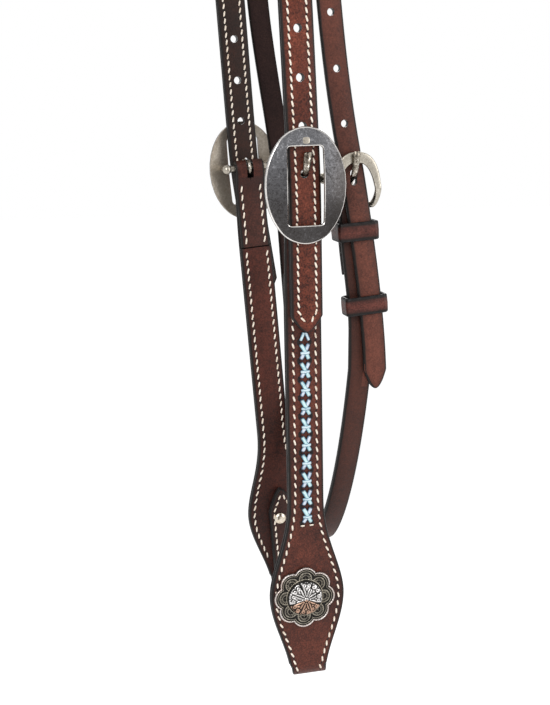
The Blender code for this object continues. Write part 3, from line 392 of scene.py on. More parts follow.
def antique_silver(name):
    """Silver with oxide in the carving, bright high spots and a copper colour, strongest on the dome's lower
    side.
    """
    look = Look(name)
    depth, copper, field = look.stored("deep")
    dirt = (depth + (look.noise(420.0) - 0.5) * 0.9).ramp(0.24, 0.7)
    warm = (copper + (look.noise(120.0, 2.0) - 0.5) * 0.5).ramp(0.2, 0.8)
    bright = look.mix(warm, rgb(196, 193, 191), rgb(170, 138, 118))
    bright = look.mix(field * 0.85, bright, rgb(138, 132, 116))
    return look.finish(look.mix(dirt, bright, rgb(26, 23, 21)), dirt.ramp(0.0, 1.0, 0.26, 0.7),
                       (look.noise(900.0), 0.05 * MM, 0.4), 0.25, 1.0 - dirt * 0.8)


def waxed_lace(name):
    """Lace with pale tops, a painted highlight broken by random worn patches, painted shade on the blue-grey
    flanks and inky painted shade at the ends, where they sink into the holes.
    """
    look = Look(name)
    end, family, top = look.stored("lace_shade_and_tint")
    pale = look.mix(family, rgb(206, 234, 236), rgb(218, 226, 238))
    tint = look.mix(family, rgb(122, 170, 186), rgb(118, 146, 172))
    # painted light: paleness is random worn patches plus each lace's top; high gives a painted highlight, low
    # gives painted shade on the flanks
    paleness = look.noise(330.0, 3.0, 0.6) * 0.7 + top * 0.7
    color = look.mix(paleness.ramp(0.80, 1.02), tint, pale)
    color = look.mix(paleness.ramp(0.52, 0.86, 1.0, 0.0), color, rgb(38, 66, 86))
    # painted shade at the ends, where the lace sinks into its holes
    color = look.mix(end.ramp(0.35, 0.9), color, rgb(30, 44, 62))
    return look.finish(color, 0.42, (look.noise(1100.0), 0.10 * MM, 0.5), 0.4)


def awl_shadow(name, color):
    """Shadowed leather inside an awl hole."""
    look = Look(name)
    return look.finish(look.mix(look.noise(700.0), color, deeper(color, 0.4)), 0.85)


EDGE_BLACK = rgb(21, 15, 12)
BROWN = leather("bridle_brown", rgb(52, 21, 14), rgb(98, 47, 33), rgb(138, 71, 52), roughness=0.38)
CHEEK_BROWN = leather("cheek_brown", rgb(40, 18, 14), rgb(76, 38, 29), rgb(108, 57, 44))
KEEPER_BROWN = leather("keeper_brown", rgb(44, 20, 16), rgb(78, 39, 32), rgb(104, 56, 47),
                       roughness=0.32, edge_band=1.9 * MM)
LINING_BROWN = leather("lining_brown", rgb(28, 17, 13), rgb(44, 27, 21), rgb(62, 37, 29),
                       roughness=0.52)
CHEEK_LINING = leather("cheek_lining_brown", rgb(36, 16, 12), rgb(64, 30, 22), rgb(86, 42, 32),
                       roughness=0.5)
# darker copy of the cheek leather: painted shade on the turnback and the flap, and on the back faces
FOLD_SHADE_BROWN = leather("fold_brown_painted_shade", rgb(38, 20, 17), rgb(60, 34, 28), rgb(80, 44, 36))
# painted shade darkens the throat strap from 0.70 m along it, fully from 0.80 m, over its lower run
THROAT_BROWN = leather("throat_brown", rgb(66, 34, 26), rgb(92, 51, 40), rgb(112, 63, 50),
                       roughness=0.50, painted_shade_run=(0.70, 0.80, 0.0, 0.55))
FLESH_BROWN = leather("flesh_brown", rgb(32, 22, 21), rgb(48, 34, 32), rgb(62, 45, 41),
                      roughness=0.78, edge_band=1.0 * MM, bare=1.0)
EDGE = burnished_edge("burnished_edge")
THREAD = waxed_thread("cream_thread", rgb(252, 240, 224), rgb(224, 200, 176))
LACE = waxed_lace("blue_lace_wax")
# painted dark reflection towards the plate's foot and painted shade towards its rear
PLATE_STEEL = metal("mottled_steel", rgb(58, 58, 60), rgb(104, 104, 107), rgb(168, 168, 172),
                    roughness=0.24, mottle=26.0, rear=(18 * MM, 34 * MM, 0.0, 0.72),
                    painted_foot_reflection=(-BAR_DROP - 36 * MM, -BAR_DROP + 22 * MM, 0.72, 0.0))
PLATE_BACK = metal("unpolished_back", rgb(138, 128, 116), rgb(166, 156, 143), rgb(190, 182, 170),
                   roughness=0.5)
# polished bevel, whose lighter colour also paints the rim's highlight
BEVEL = metal("polished_bevel_painted_highlight", rgb(176, 172, 168), rgb(214, 210, 206), rgb(240, 238, 235), roughness=0.16)
NICKEL = metal("satin_nickel", rgb(134, 127, 115), rgb(170, 163, 151), rgb(200, 194, 183), roughness=0.3)
PEWTER = metal("pewter", rgb(54, 49, 43), rgb(110, 102, 92), rgb(190, 183, 172),
               roughness=0.24, mottle=150.0, spread=(0.42, 0.58))
WORN_WIRE = metal("worn_wire", rgb(84, 77, 68), rgb(150, 142, 130), rgb(216, 210, 200),
                  roughness=0.24, mottle=150.0, spread=(0.4, 0.56))
SCREW_METAL = metal("worn_nickel", rgb(168, 142, 112), rgb(206, 196, 180), rgb(238, 236, 232),
                    roughness=0.2)
SILVER = antique_silver("antique_silver_carved")
AWL_DARK = awl_shadow("awl_shadow", rgb(26, 14, 12))


# ---------------------------------------------------------------- strap lines
def smooth_step(t):
    t = min(max(t, 0.0), 1.0)
    return t * t * (3 - 2 * t)


def between(first, second, t):
    return first + (second - first) * t


def spaced(start, stop):
    count = max(2, math.ceil(abs(stop - start) / ROW_STEP))
    return [start + (stop - start) * i / count for i in range(count + 1)]


def arc(centre_y, centre_z, radius, start, stop):
    angles = [math.radians(start + (stop - start) * i / ARC_STEPS) for i in range(ARC_STEPS + 1)]
    return [(centre_y + radius * math.cos(a), centre_z + radius * math.sin(a)) for a in angles]


def ease(start, stop):
    shares = [i / EASE_STEPS for i in range(EASE_STEPS + 1)]
    return [(between(start[0], stop[0], smooth_step(t)), between(start[1], stop[1], t)) for t in shares]


def point_half(distance, length, half, power=0.6):
    """Half width of a pointed end, at a distance from its tip."""
    return half if distance >= length else half * max(0.1, (distance / length) ** power)


def tip_places(length):
    return [length * (i / 9) ** 1.6 for i in range(10)]


def crown_x(side, z):
    """The crown leans one way above the cheek's bar and another way below it."""
    above, below = (math.tan(angle) for angle in CROWN_LEAN[side])
    height = z + BAR_DROP
    bow = math.hypot(height, LEAN_EASE) - LEAN_EASE
    return CROWN_X - (above + below) / 2 * height - (above - below) / 2 * bow


def arch_rows(radius, shift, half):
    """A strap's rows over the poll, from the near side's spring to the off side's."""
    start, stop = crown_x("near", SPRING_Z), crown_x("off", SPRING_Z)
    run = math.pi * HALF_SPREAD
    slope_in, slope_out = -math.tan(CROWN_LEAN["near"][0]) * run, math.tan(CROWN_LEAN["off"][0]) * run
    rows = []
    for i in range(1, ARCH_STEPS):
        t, angle = i / ARCH_STEPS, math.pi * i / ARCH_STEPS
        x = (start * (2 * t**3 - 3 * t**2 + 1) + slope_in * (t**3 - 2 * t**2 + t)
             + stop * (3 * t**2 - 2 * t**3) + slope_out * (t**3 - t**2))
        rows.append(((x + shift, -radius * math.cos(angle), SPRING_Z + radius * math.sin(angle)), half))
    return rows


def splay_share(z):
    return smooth_step(max(0.0, (-z - SPLAY_TOP) / (THROAT_TIP_DROP - SPLAY_TOP)) ** SPLAY_POWER)


def near_throat_x(z):
    hole_x = FRAME_X - math.tan(THROAT_FRAME_LEAN) * THROAT_HOLE_RISE
    splay = hole_x - crown_x("near", THROAT_HOLE_Z) - THROAT_SPACING
    return crown_x("near", z) + THROAT_SPACING + splay * splay_share(z) / splay_share(THROAT_HOLE_Z)


def near_throat_y(z):
    return HALF_SPREAD - THROAT_TUCK * smooth_step((-z - TUCK_TOP) / TUCK_RUN)


def off_throat_x(z):
    post = CHEEK_X["off"] + POST_REACH + BAR_RADIUS + OFF_POST_CLEARANCE
    splay = post + THROAT_WIDTH / 2 - CROWN_X - THROAT_SPACING
    straight = CROWN_X - math.tan(CROWN_LEAN["off"][0]) * (z + BAR_DROP)
    blend = smooth_step((-z - OFF_SPLAY_TOP) / (BAR_DROP - OFF_SPLAY_TOP))
    share = smooth_step((-z - OFF_SPLAY_TOP) / OFF_SPLAY_RUN) / smooth_step(OFF_SPLAY_BAR_SHARE)
    return between(crown_x("off", z), straight, blend) + THROAT_SPACING + splay * share


def near_lower_x(z):
    return FRAME_X + LOWER_SHIFT * smooth_step((-z - THROAT_BAR_DROP) / LOWER_SHIFT_RUN)


def crown_stations(offset):
    half, radius = CROWN_WIDTH / 2, HALF_SPREAD + offset
    heights = [BILLET_TIP_Z + d for d in tip_places(BILLET_POINT)]
    heights += spaced(BILLET_TIP_Z + BILLET_POINT, SPRING_Z)[1:]
    near, off = ([((crown_x(side, z), sign * radius, z), point_half(z - BILLET_TIP_Z, BILLET_POINT, half))
                  for z in heights] for side, sign in SIDES)
    return near + arch_rows(radius, 0.0, half) + off[::-1]


def cheek_half(drop):
    strap, lobe = CHEEK_WIDTH / 2, LOBE_WIDTH / 2
    if drop < TURNBACK:
        return between(FOLD_WIDTH / 2, strap, smooth_step(drop / TURNBACK))
    if drop < LOBE_DROP:
        t = max(0.0, (drop - LOBE_DROP + FLARE_LENGTH) / FLARE_LENGTH)
        return between(strap, lobe, smooth_step(t**1.25))
    return between(lobe, BIT_END_WIDTH / 2, smooth_step((drop - LOBE_DROP) / (BIT_DROP - LOBE_DROP)))


def cheek_tail(y, top, wide, plane, side):
    """Rows of one layer: down the cheek, round the bit and up the turned-back flap."""
    skew, end, flap = FLAP_SKEW[side], BIT_END_WIDTH / 2, FLAP_WIDTH / 2
    rows = [((0, y, z), cheek_half(-z)) for z in spaced(top, BIT_CENTRE_Z)]
    for i, (y, z) in enumerate(arc(FOLD_RADIUS - BIT_RADIUS, BIT_CENTRE_Z, wide, 0, -180)[1:-1], 1):
        rows.append(((skew * smooth_step(i / ARC_STEPS), y, z), end))
    start = -2 * BIT_RADIUS + FOLD_RADIUS + (0 if plane == 3 else PLY)
    stop, bend_top = FOLD_RADIUS - plane * PLY, BIT_CENTRE_Z + LOOP_EASE
    tip = -(LOBE_DROP - FLAP_RISE)
    for i, (y, z) in enumerate(ease((start, BIT_CENTRE_Z), (stop, bend_top))):
        t = i / EASE_STEPS
        rows.append(((skew * (1 - smooth_step(t)), y, z), between(end, flap, t)))
    rows += [((0, stop, z), flap) for z in spaced(bend_top, tip - FLAP_POINT)[1:]]
    ends = tip_places(FLAP_POINT)[::-1][1:]
    return rows + [((0, stop, tip - d), point_half(d, FLAP_POINT, flap)) for d in ends]


def hang(rows, side):
    """Rows of a cheek made shorter by its rise, between turnback and lacing."""
    top = -(TURNBACK + SEAM)
    run = LACE_FIRST_DROP - LACE_PITCH / 2 + top
    return [((x, y, z + RISE[side] * smooth_step((top - z) / run)), half) for (x, y, z), half in rows]


def cheek_leather_stations(side):
    back, fold = FOLD_RADIUS - PLY, FOLD_WIDTH / 2
    turn = [(back, z) for z in spaced(-TURNBACK, -FOLD_EASE)[:-1]]
    turn += ease((back, -FOLD_EASE), (-FOLD_RADIUS, 0)) + arc(0, 0, FOLD_RADIUS, 180, 0)[1:-1]
    rows = [((0, y, z), fold) for y, z in turn]
    return hang(rows + cheek_tail(FOLD_RADIUS, 0, BIT_RADIUS, 3, side), side)


def cheek_lining_stations(side):
    return hang(cheek_tail(FOLD_RADIUS - PLY, -(TURNBACK + SEAM), BIT_RADIUS - PLY, 2, side), side)


def throat_stations():
    half, tip_z, point = THROAT_WIDTH / 2, -THROAT_TIP_DROP, THROAT_WIDTH * 0.8
    near = [tip_z + d for d in tip_places(point)] + spaced(tip_z + point, SPRING_Z)[1:]
    rows = [((near_throat_x(z), -near_throat_y(z), z), point_half(z - tip_z, point, half, 0.5))
            for z in near]
    rows += arch_rows(HALF_SPREAD, THROAT_SPACING, half)
    loop_z, bar_z = -LOOP_START_DROP, -THROAT_BAR_DROP
    rows += [((off_throat_x(z), HALF_SPREAD, z), half) for z in spaced(SPRING_Z, loop_z)]
    lower_y = THROAT_REACH - THROAT_PLY
    ends = {True: (HALF_SPREAD, off_throat_x(loop_z)), False: (lower_y, near_lower_x(loop_z))}
    for i in range(1, 2 * LOOP_STEPS):
        angle = math.pi / 2 * i / LOOP_STEPS
        c, s = math.cos(angle), math.sin(angle)
        reach, side_x = ends[c > 0]
        x = between(LOOP_BOTTOM_X, side_x, smooth_step(abs(c)))
        rows.append(((x, reach * c, loop_z - LOOP_DEPTH * s**LOOP_POWER), half))
    rows += [((near_lower_x(z), -lower_y, z), half) for z in spaced(loop_z, bar_z)]
    bar_y, fold = THROAT_REACH - THROAT_BAR_INSET, THROAT_FOLD_RADIUS
    back, low = fold - THROAT_PLY, bar_z - THROAT_FOLD_EASE
    rows += [((near_lower_x(bar_z), -(bar_y + y), z), half) for y, z in arc(0, bar_z, fold, 0, 180)[1:]]
    tail = ease((-fold, bar_z), (back, low))[1:]
    tail += [(back, z) for z in spaced(low, bar_z - THROAT_TURNBACK)[1:]]
    return rows + [((near_lower_x(z), -(bar_y + y), z), half) for y, z in tail]


def brow_ends(side):
    z = -BROW_DROP
    throat = near_throat_x(z) if side == "near" else off_throat_x(z)
    return (crown_x(side, z) - CROWN_WIDTH / 2 - BROW_LOOP_SIDE, throat + THROAT_WIDTH / 2 + BROW_LOOP_SIDE)


def brow_loop(side):
    """The browband's end seen from above, on the off side: in along the crown and back out."""
    front, rear = brow_ends(side)
    inner = HALF_SPREAD - CROWN_HALF - BROW_LOOP_FACE - LAYER / 2
    turn, middle = (BROW_OUTER - inner) / 2, (BROW_OUTER + inner) / 2
    tail, under = front - BROW_SETBACK, BROW_OUTER - PLY
    points = [(x, under) for x in spaced(tail, front - BROW_EASE)]
    for i in range(1, 13):
        t = i / 12
        points.append((front - BROW_EASE * (1 - t), between(under, inner, smooth_step(t))))
    points += [(x, inner) for x in spaced(front, rear - turn)[1:]]
    for i in range(1, 21):
        angle = -math.pi / 2 + math.pi * i / 20
        points.append((rear - turn + turn * math.cos(angle), middle + turn * math.sin(angle)))
    return points + [(x, BROW_OUTER) for x in spaced(rear - turn, tail)[1:]]


def brow_bow():
    near_x, off_x = (brow_ends(side)[0] - BROW_SETBACK for side, _ in SIDES)
    points = []
    for i in range(BOW_STEPS + 1):
        angle = math.pi * i / BOW_STEPS
        back = (near_x + off_x) / 2 + (near_x - off_x) / 2 * math.cos(angle)
        points.append((back - BROW_BOW * math.sin(angle), -BROW_OUTER * math.cos(angle)))
    return points


def inside_line(points, offset):
    moved = []
    for before, here, after in zip(points, points[1:], points[2:]):
        run = (Vector(after) - Vector(before)).normalized()
        moved.append(Vector(here) + Vector((run.y, -run.x)) * offset)
    return moved


def facing(x, y, z, lean, near=True):
    """A leaning frame: x across, y away from the head, z up."""
    turn = Matrix.Rotation(-lean, 4, "Y")
    return Matrix.Translation((x, y, z)) @ (turn @ Matrix.Rotation(math.pi, 4, "Z") if near else turn)


# ---------------------------------------------------------------- meshes
def circle(count):
    return [(math.cos(2 * math.pi * k / count), math.sin(2 * math.pi * k / count)) for k in range(count)]


def squared(value, power):
    """A sine or cosine made squarer by a power below 1."""
    return math.copysign(abs(value) ** power, value)


def new_object(name, bm):
    mesh = bpy.data.meshes.new(name)
    bm.to_mesh(mesh)
    bm.free()
    return bpy.data.objects.new(name, mesh)


def show(obj, body, smooth, node=None):
    """Put a finished piece in the scene and on its body."""
    bpy.context.scene.collection.objects.link(obj)
    obj.data.shade_smooth()
    obj.data.set_sharp_from_angle(angle=math.radians(smooth))
    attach(obj, body)
    if node:
        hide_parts(node)
    return obj


def store_vectors(obj, name, values):
    stored = obj.data.attributes.new(name, "FLOAT_VECTOR", "POINT")
    stored.data.foreach_set("vector", values)


class Shell:
    """A mesh piece, gathered ring by ring."""

    def __init__(self):
        self.verts, self.faces = [], []

    def ring(self, spots):
        first = len(self.verts)
        self.verts += spots
        return range(first, len(self.verts))

    def skin(self, rings, closed=False):
        """Faces from ring to ring, and over both ends unless the rings close."""
        rings = list(rings)
        for a, b in zip(rings, rings[1:] + rings[:1] if closed else rings[1:]):
            for k in range(max(len(a), len(b))):
                corners = (a[k % len(a)], b[k % len(b)], b[(k + 1) % len(b)], a[(k + 1) % len(a)])
                self.faces.append(tuple(dict.fromkeys(corners)))
        if not closed:
            self.faces += [tuple(ring) for ring in (rings[0], rings[-1]) if len(ring) > 1]

    def object(self, name):
        mesh = bpy.data.meshes.new(name)
        mesh.from_pydata([tuple(vert) for vert in self.verts], [], self.faces)
        mesh.validate()
        bm = bmesh.new()
        bm.from_mesh(mesh)
        bpy.data.meshes.remove(mesh)
        bmesh.ops.recalc_face_normals(bm, faces=bm.faces)
        return new_object(name, bm)

    def piece(self, name, mat, body, smooth=60, node=None, slot=None):
        obj = self.object(name)
        obj.data.materials.append(mat)
        return show(obj, body, smooth, node)

    def capsule(self, start, end, up, radius, rise):
        """A stitch: a short rope that rises in its middle."""
        run = end - start
        side = up.cross(run).normalized()
        rings = []
        for share, width in ((0.0, 0.5), (0.14, 0.92), (0.5, 1.0), (0.86, 0.92), (1.0, 0.5)):
            centre = start + run * share + up * rise * (1 - (2 * share - 1) ** 2)
            rings.append(self.ring([centre + (side * c + up * s) * radius * width for c, s in circle(6)]))
        self.skin(rings)

    def lens(self, centre, up, run, long, wide):
        """The dark mouth of a hole, as a flat lens of painted shade."""
        side = up.cross(run).normalized()
        rim = [centre + run * c * long + side * s * wide for c, s in circle(8)]
        top, bottom = centre + up * 0.05 * MM, centre - up * 0.5 * MM
        self.skin([self.ring([top]), self.ring(rim), self.ring([bottom])])


def domed(radius, low, rise):
    """The outline of a domed head, from just inside its rim to just off its top."""
    angles = [math.pi / 2 * i / 12 for i in range(1, 12)]
    return [(radius * math.cos(angle), low + rise * math.sin(angle)) for angle in angles]


def turned(profile_points, matrix):
    """A turned piece from (radius, height) points, closed at both ends."""
    shell, rings = Shell(), []
    for radius, height in profile_points:
        around = circle(40) if radius > 1e-7 else [(0.0, 0.0)]
        rings.append(shell.ring([matrix @ Vector((radius * c, radius * s, height)) for c, s in around]))
    shell.skin(rings)
    return shell


def tube(points, radii, matrix, sides=20, closed=False, ups=None, square=1.0, normal=None):
    """A smooth rod through points; radii are its half widths, ups its half heights."""
    spots, ups, count = [Vector(point) for point in points], ups or radii, len(points)
    fine = []
    for i in range(count if closed else count - 1):
        j = (i + 1) % count
        p0 = spots[(i - 1) % count] if closed or i else spots[0] * 2 - spots[1]
        p1, p2 = spots[i], spots[j]
        p3 = spots[(i + 2) % count] if closed or i + 2 < count else p2 * 2 - p1
        for k in range(6):
            t = k / 6
            spot = ((p1 * 2) + (p2 - p0) * t + (p0 * 2 - p1 * 5 + p2 * 4 - p3) * t * t
                    + (p1 * 3 - p0 - p2 * 3 + p3) * t ** 3) * 0.5
            fine.append((spot, between(radii[i], radii[j], t), between(ups[i], ups[j], t)))
    if not closed:
        fine.append((spots[-1], radii[-1], ups[-1]))
    shell, rings, total, side = Shell(), [], len(fine), None
    for i, (centre, wide, high) in enumerate(fine):
        before = fine[(i - 1) % total if closed else max(i - 1, 0)][0]
        after = fine[(i + 1) % total if closed else min(i + 1, total - 1)][0]
        run = (after - before).normalized()
        side = side or (AXIS_X if abs(run.x) < 0.9 else AXIS_Z)
        side = normal.cross(run).normalized() if normal else (side - run * side.dot(run)).normalized()
        up = run.cross(side)
        rings.append(shell.ring([matrix @ (centre + side * squared(c, square) * wide
                                           + up * squared(s, square) * high) for c, s in circle(sides)]))
    shell.skin(rings, closed)
    return shell


def rounded(left, right, low, high, radius):
    """A rounded rectangle as (x, y, angle), counterclockwise from its right."""
    path = []
    for turn, (cx, cy) in enumerate(((right - radius, high - radius), (left + radius, high - radius),
                                     (left + radius, low + radius), (right - radius, low + radius))):
        for i in range(CORNER_STEPS):
            angle = math.radians(90 * turn + 90 * i / (CORNER_STEPS - 1))
            path.append((cx + radius * math.cos(angle), cy + radius * math.sin(angle), angle))
    return path


# ---------------------------------------------------------------- strap pieces
class Strip:
    """A strap's middle surface, addressed by length along it and place across."""

    def __init__(self, stations, thickness, across=None, place=Matrix.Identity(4)):
        kept = []
        for centre, half in stations:
            centre = place @ Vector(centre)
            if not kept or (centre - kept[-1][0]).length > LEAST_STEP:
                kept.append((centre, half))
        self.centres, self.halves = zip(*kept)
        self.thickness = thickness
        self.lengths, self.frames = [0.0], []
        for first, second in zip(self.centres, self.centres[1:]):
            self.lengths.append(self.lengths[-1] + (second - first).length)
        self.total = self.lengths[-1]
        self.tree = KDTree(len(kept))
        last = len(kept) - 1
        for i, centre in enumerate(self.centres):
            run = (self.centres[min(i + 1, last)] - self.centres[max(i - 1, 0)]).normalized()
            wide = place.to_3x3() @ across if across else (AXIS_X - run * run.x).normalized()
            self.frames.append((wide, wide.cross(run).normalized(), run))
            self.tree.insert(centre, i)
        self.tree.balance()

    def at(self, s):
        """Centre, half width and (across, out, along) at a length."""
        s = min(max(s, 0.0), self.total)
        i = min(max(bisect.bisect_right(self.lengths, s) - 1, 0), len(self.lengths) - 2)
        t = (s - self.lengths[i]) / (self.lengths[i + 1] - self.lengths[i])
        axes = [a.lerp(b, t).normalized() for a, b in zip(self.frames[i], self.frames[i + 1])]
        half = between(self.halves[i], self.halves[i + 1], t)
        return self.centres[i].lerp(self.centres[i + 1], t), half, axes

    def nearest(self, spot):
        """The station whose cross-section runs closest to a spot."""
        def miss(found):
            _, normal, run = self.frames[found[1]]
            off = spot - found[0]
            return abs(off.dot(run)) + abs(off.dot(normal)) * 0.3
        return min(self.tree.find_n(spot, 6), key=miss)[1]


def profile(half, thick):
    """Rounded cross-section as (across, out) points, faces flat, edges round."""
    side = min(EDGE_ROUND, half * 0.7)
    flat = half - side
    points = [(-flat, thick), (0.0, thick), (flat, thick)]
    for i in range(1, 7):
        angle = math.pi * i / 7
        points.append((flat + side * math.sin(angle), thick * math.cos(angle)))
    return points + [(-u, -w) for u, w in points]


def strap_object(name, strip):
    """The strap as a closed solid with round edges and blunt ends."""
    total = strip.total
    start = [0.0, BLUNT_END * 0.25, BLUNT_END * 0.6]
    middle = [s for s in strip.lengths if BLUNT_END < s < total - BLUNT_END]
    shell, rings = Shell(), []
    for s in start + middle + [total - s for s in reversed(start)]:
        centre, half, (wide, normal, _) = strip.at(s)
        share = min(min(s, total - s) / BLUNT_END, 1.0)
        shrink = math.sqrt(max(0.0, 1 - (1 - share) ** 2)) * 0.55 + 0.45
        rings.append(shell.ring([centre + wide * u + normal * w * shrink
                                 for u, w in profile(half, strip.thickness / 2)]))
    shell.skin(rings)
    return shell.object(name)


def punches(holes, radius, length):
    """Round punches through a strap at (centre, stretch)."""
    bm = bmesh.new()
    turn = AXIS_Z.rotation_difference(AXIS_Y).to_matrix().to_4x4()
    for centre, stretch in holes:
        made = bmesh.ops.create_cone(bm, cap_ends=True, segments=28, radius1=radius, radius2=radius,
                                     depth=length, matrix=Matrix.Translation(Vector(centre)) @ turn)
        for vert in made["verts"]:
            vert.co.z += math.copysign(stretch, vert.co.z - centre[2])
    return bm


def tongue_slot(place):
    """The slot for the tongue in the cheek's fold."""
    bm = bmesh.new()
    size = (SLOT_HALF_WIDTH * 2, FOLD_RADIUS * 4, SLOT_REACH * 2)
    bmesh.ops.create_cube(bm, size=1, matrix=place @ Matrix.Diagonal((*size, 1)))
    deep = [e for e in bm.edges if abs((e.verts[0].co - e.verts[1].co).y) > FOLD_RADIUS * 3]
    bmesh.ops.bevel(bm, geom=deep, offset=SLOT_HALF_WIDTH * 0.95, segments=5, affect="EDGES")
    return bm


def cut(obj, bm):
    """Take the closed forms in bm out of obj and keep the plain mesh."""
    cutter = new_object("cutter", bm)
    for each in (obj, cutter):
        bpy.context.scene.collection.objects.link(each)
    mod = obj.modifiers.new("Holes", "BOOLEAN")
    mod.operation, mod.solver, mod.object = "DIFFERENCE", "EXACT", cutter
    bpy.context.view_layer.update()
    made = bpy.data.meshes.new_from_object(obj.evaluated_get(bpy.context.evaluated_depsgraph_get()))
    obj.modifiers.clear()
    whole, obj.data = obj.data, made
    bpy.data.meshes.remove(whole)
    bpy.data.objects.remove(cutter)
    bpy.context.scene.collection.objects.unlink(obj)


def dress(obj, strip, grain, back, grain_run):
    """Store each vertex's place, and give grain side, back and edges their materials.

    A place is (across, along, in from the edge). The grain side keeps its
    material along grain_run, a (start, stop) length, and has the back's elsewhere.
    """
    places = []
    for vert in obj.data.vertices:
        i = strip.nearest(vert.co)
        wide, _, run = strip.frames[i]
        off = vert.co - strip.centres[i]
        u = off.dot(wide)
        places += [u, strip.lengths[i] + off.dot(run), strip.halves[i] - abs(u)]
    store_vectors(obj, "lay", places)
    obj.data.materials.clear()
    for mat in (grain, back, EDGE):
        obj.data.materials.append(mat)
    for face in obj.data.polygons:
        i = strip.nearest(face.center)
        out = face.normal.dot(strip.frames[i][1])
        plain = grain_run[0] <= strip.lengths[i] <= grain_run[1]
        face.material_index = 2 if abs(out) <= 0.55 else 0 if out > 0 and plain else 1


def make_strap(name, strip, grain, body, node, cutters=None, back=None, grain_run=(0.0, math.inf)):
    obj = strap_object(name, strip)
    if cutters is not None:
        cut(obj, cutters)
    dress(obj, strip, grain, back or grain, grain_run)
    show(obj, body, 40, node)


# ---------------------------------------------------------------- stitching
def stitch_row(strip, u_of, face, start, stop, store, slant, seed, pitch, share):
    """One row of slanted stitches with the awl holes between them."""
    thread, holes = store
    steps = max(2, int(abs(stop - start) / WALK_STEP))
    walk, marks = [], [0.0]
    for i in range(steps + 1):
        s = start + (stop - start) * i / steps
        centre, _, (wide, normal, _) = strip.at(s)
        walk.append((s, centre + wide * u_of(s) + normal * (strip.thickness / 2 * face)))
    for first, second in zip(walk, walk[1:]):
        marks.append(marks[-1] + (second[1] - first[1]).length)
    total, rng = marks[-1], random.Random(seed)
    count = int(total / pitch)
    if count < 1:
        return
    step = total / count

    def place(distance):
        """The spot at a distance along the row, and the face's way out there."""
        distance = min(max(distance, 0.0), total)
        i = min(max(bisect.bisect_right(marks, distance) - 1, 0), len(marks) - 2)
        t = (distance - marks[i]) / max(marks[i + 1] - marks[i], 1e-9)
        up = strip.at(between(walk[i][0], walk[i + 1][0], t))[2][1] * face
        return walk[i][1].lerp(walk[i + 1][1], t), up

    for k in range(count):
        middle = (k + 0.5) * step + rng.uniform(-1, 1) * SPACING_JITTER
        here, up = place(middle)
        along = (place(middle + 0.4 * MM)[0] - place(middle - 0.4 * MM)[0]).normalized()
        turn = slant + rng.uniform(-1, 1) * SLANT_JITTER
        way = along * math.cos(turn) + up.cross(along).normalized() * math.sin(turn)
        reach, lift = way * (step * share / 2), up * THREAD_LIFT
        thread.capsule(here - reach + lift, here + reach + lift, up, THREAD_RADIUS, THREAD_RISE)
        gap, up = place((k + 1.0) * step)
        holes.lens(gap, up, along, *AWL_HOLE)


def both_rows(strip, face, start, stop, store, half_at, slant=0.22, seed=0, pitch=CHEEK_PITCH,
              share=STITCH_SHARE):
    """Two rows, each half_at(length, sign) from the strap's middle."""
    for sign in (-1, 1):
        stitch_row(strip, lambda s: sign * half_at(s, sign), face, start, stop, store, slant,
                   seed + sign, pitch, share)


def from_edge(strip, inset, spread=None):
    """A row at an inset from the edge, let out by spread's (start, run, front, rear)."""
    def half_at(s, sign):
        out = smooth_step((s - spread[0]) / spread[1]) * spread[2 if sign > 0 else 3] if spread else 0.0
        return strip.at(s)[1] - inset + out
    return half_at


def finish_stitches(name, store, body, slot):
    for shell, label, mat in zip(store, ("_stitching", "_awl_holes"), (THREAD, AWL_DARK)):
        shell.piece(name + label, mat, body, slot=slot)


# ---------------------------------------------------------------- crown
def build_crown():
    holes = []
    for side, sign in SIDES:
        for i in range(CROWN_HOLES):
            z = -BAR_DROP + TONGUE_EYE + i * CROWN_HOLE_PITCH
            at_tongue = CHEEK_X[side] - math.tan(CHEEK_LEAN[side]) * (z + BAR_DROP)
            holes.append(((crown_x(side, z) if i else at_tongue, sign * HALF_SPREAD, z), 0.0))
    strips = {face: Strip(crown_stations(face * PLY / 2), LAYER) for face in (1, -1)}
    for face, name, mat, node in ((1, "crown_leather", BROWN, "crown_strap"),
                                  (-1, "crown_backing", LINING_BROWN, "crown_lining")):
        make_strap(name, strips[face], mat, "headstall", node, punches(holes, HOLE_RADIUS, CROWN_HALF * 4))
    for face, strip in strips.items():
        def half_at(s, _):
            tip = min(s, strip.total - s)
            closing = max(0.0, (tip - ROW_TIP) / ROW_CLOSING) ** 0.8 + 0.05
            return (CROWN_WIDTH / 2 - ROW_INSET) * min(1.0, closing)
        store, start = (Shell(), Shell()), BILLET_POINT * 0.62
        both_rows(strip, face, start, strip.total - start, store, half_at, 0.26 * face, 11,
                  CROWN_PITCH, 0.76)
        finish_stitches("crown_outer" if face > 0 else "crown_inner", store, "headstall", "bridle_leather")


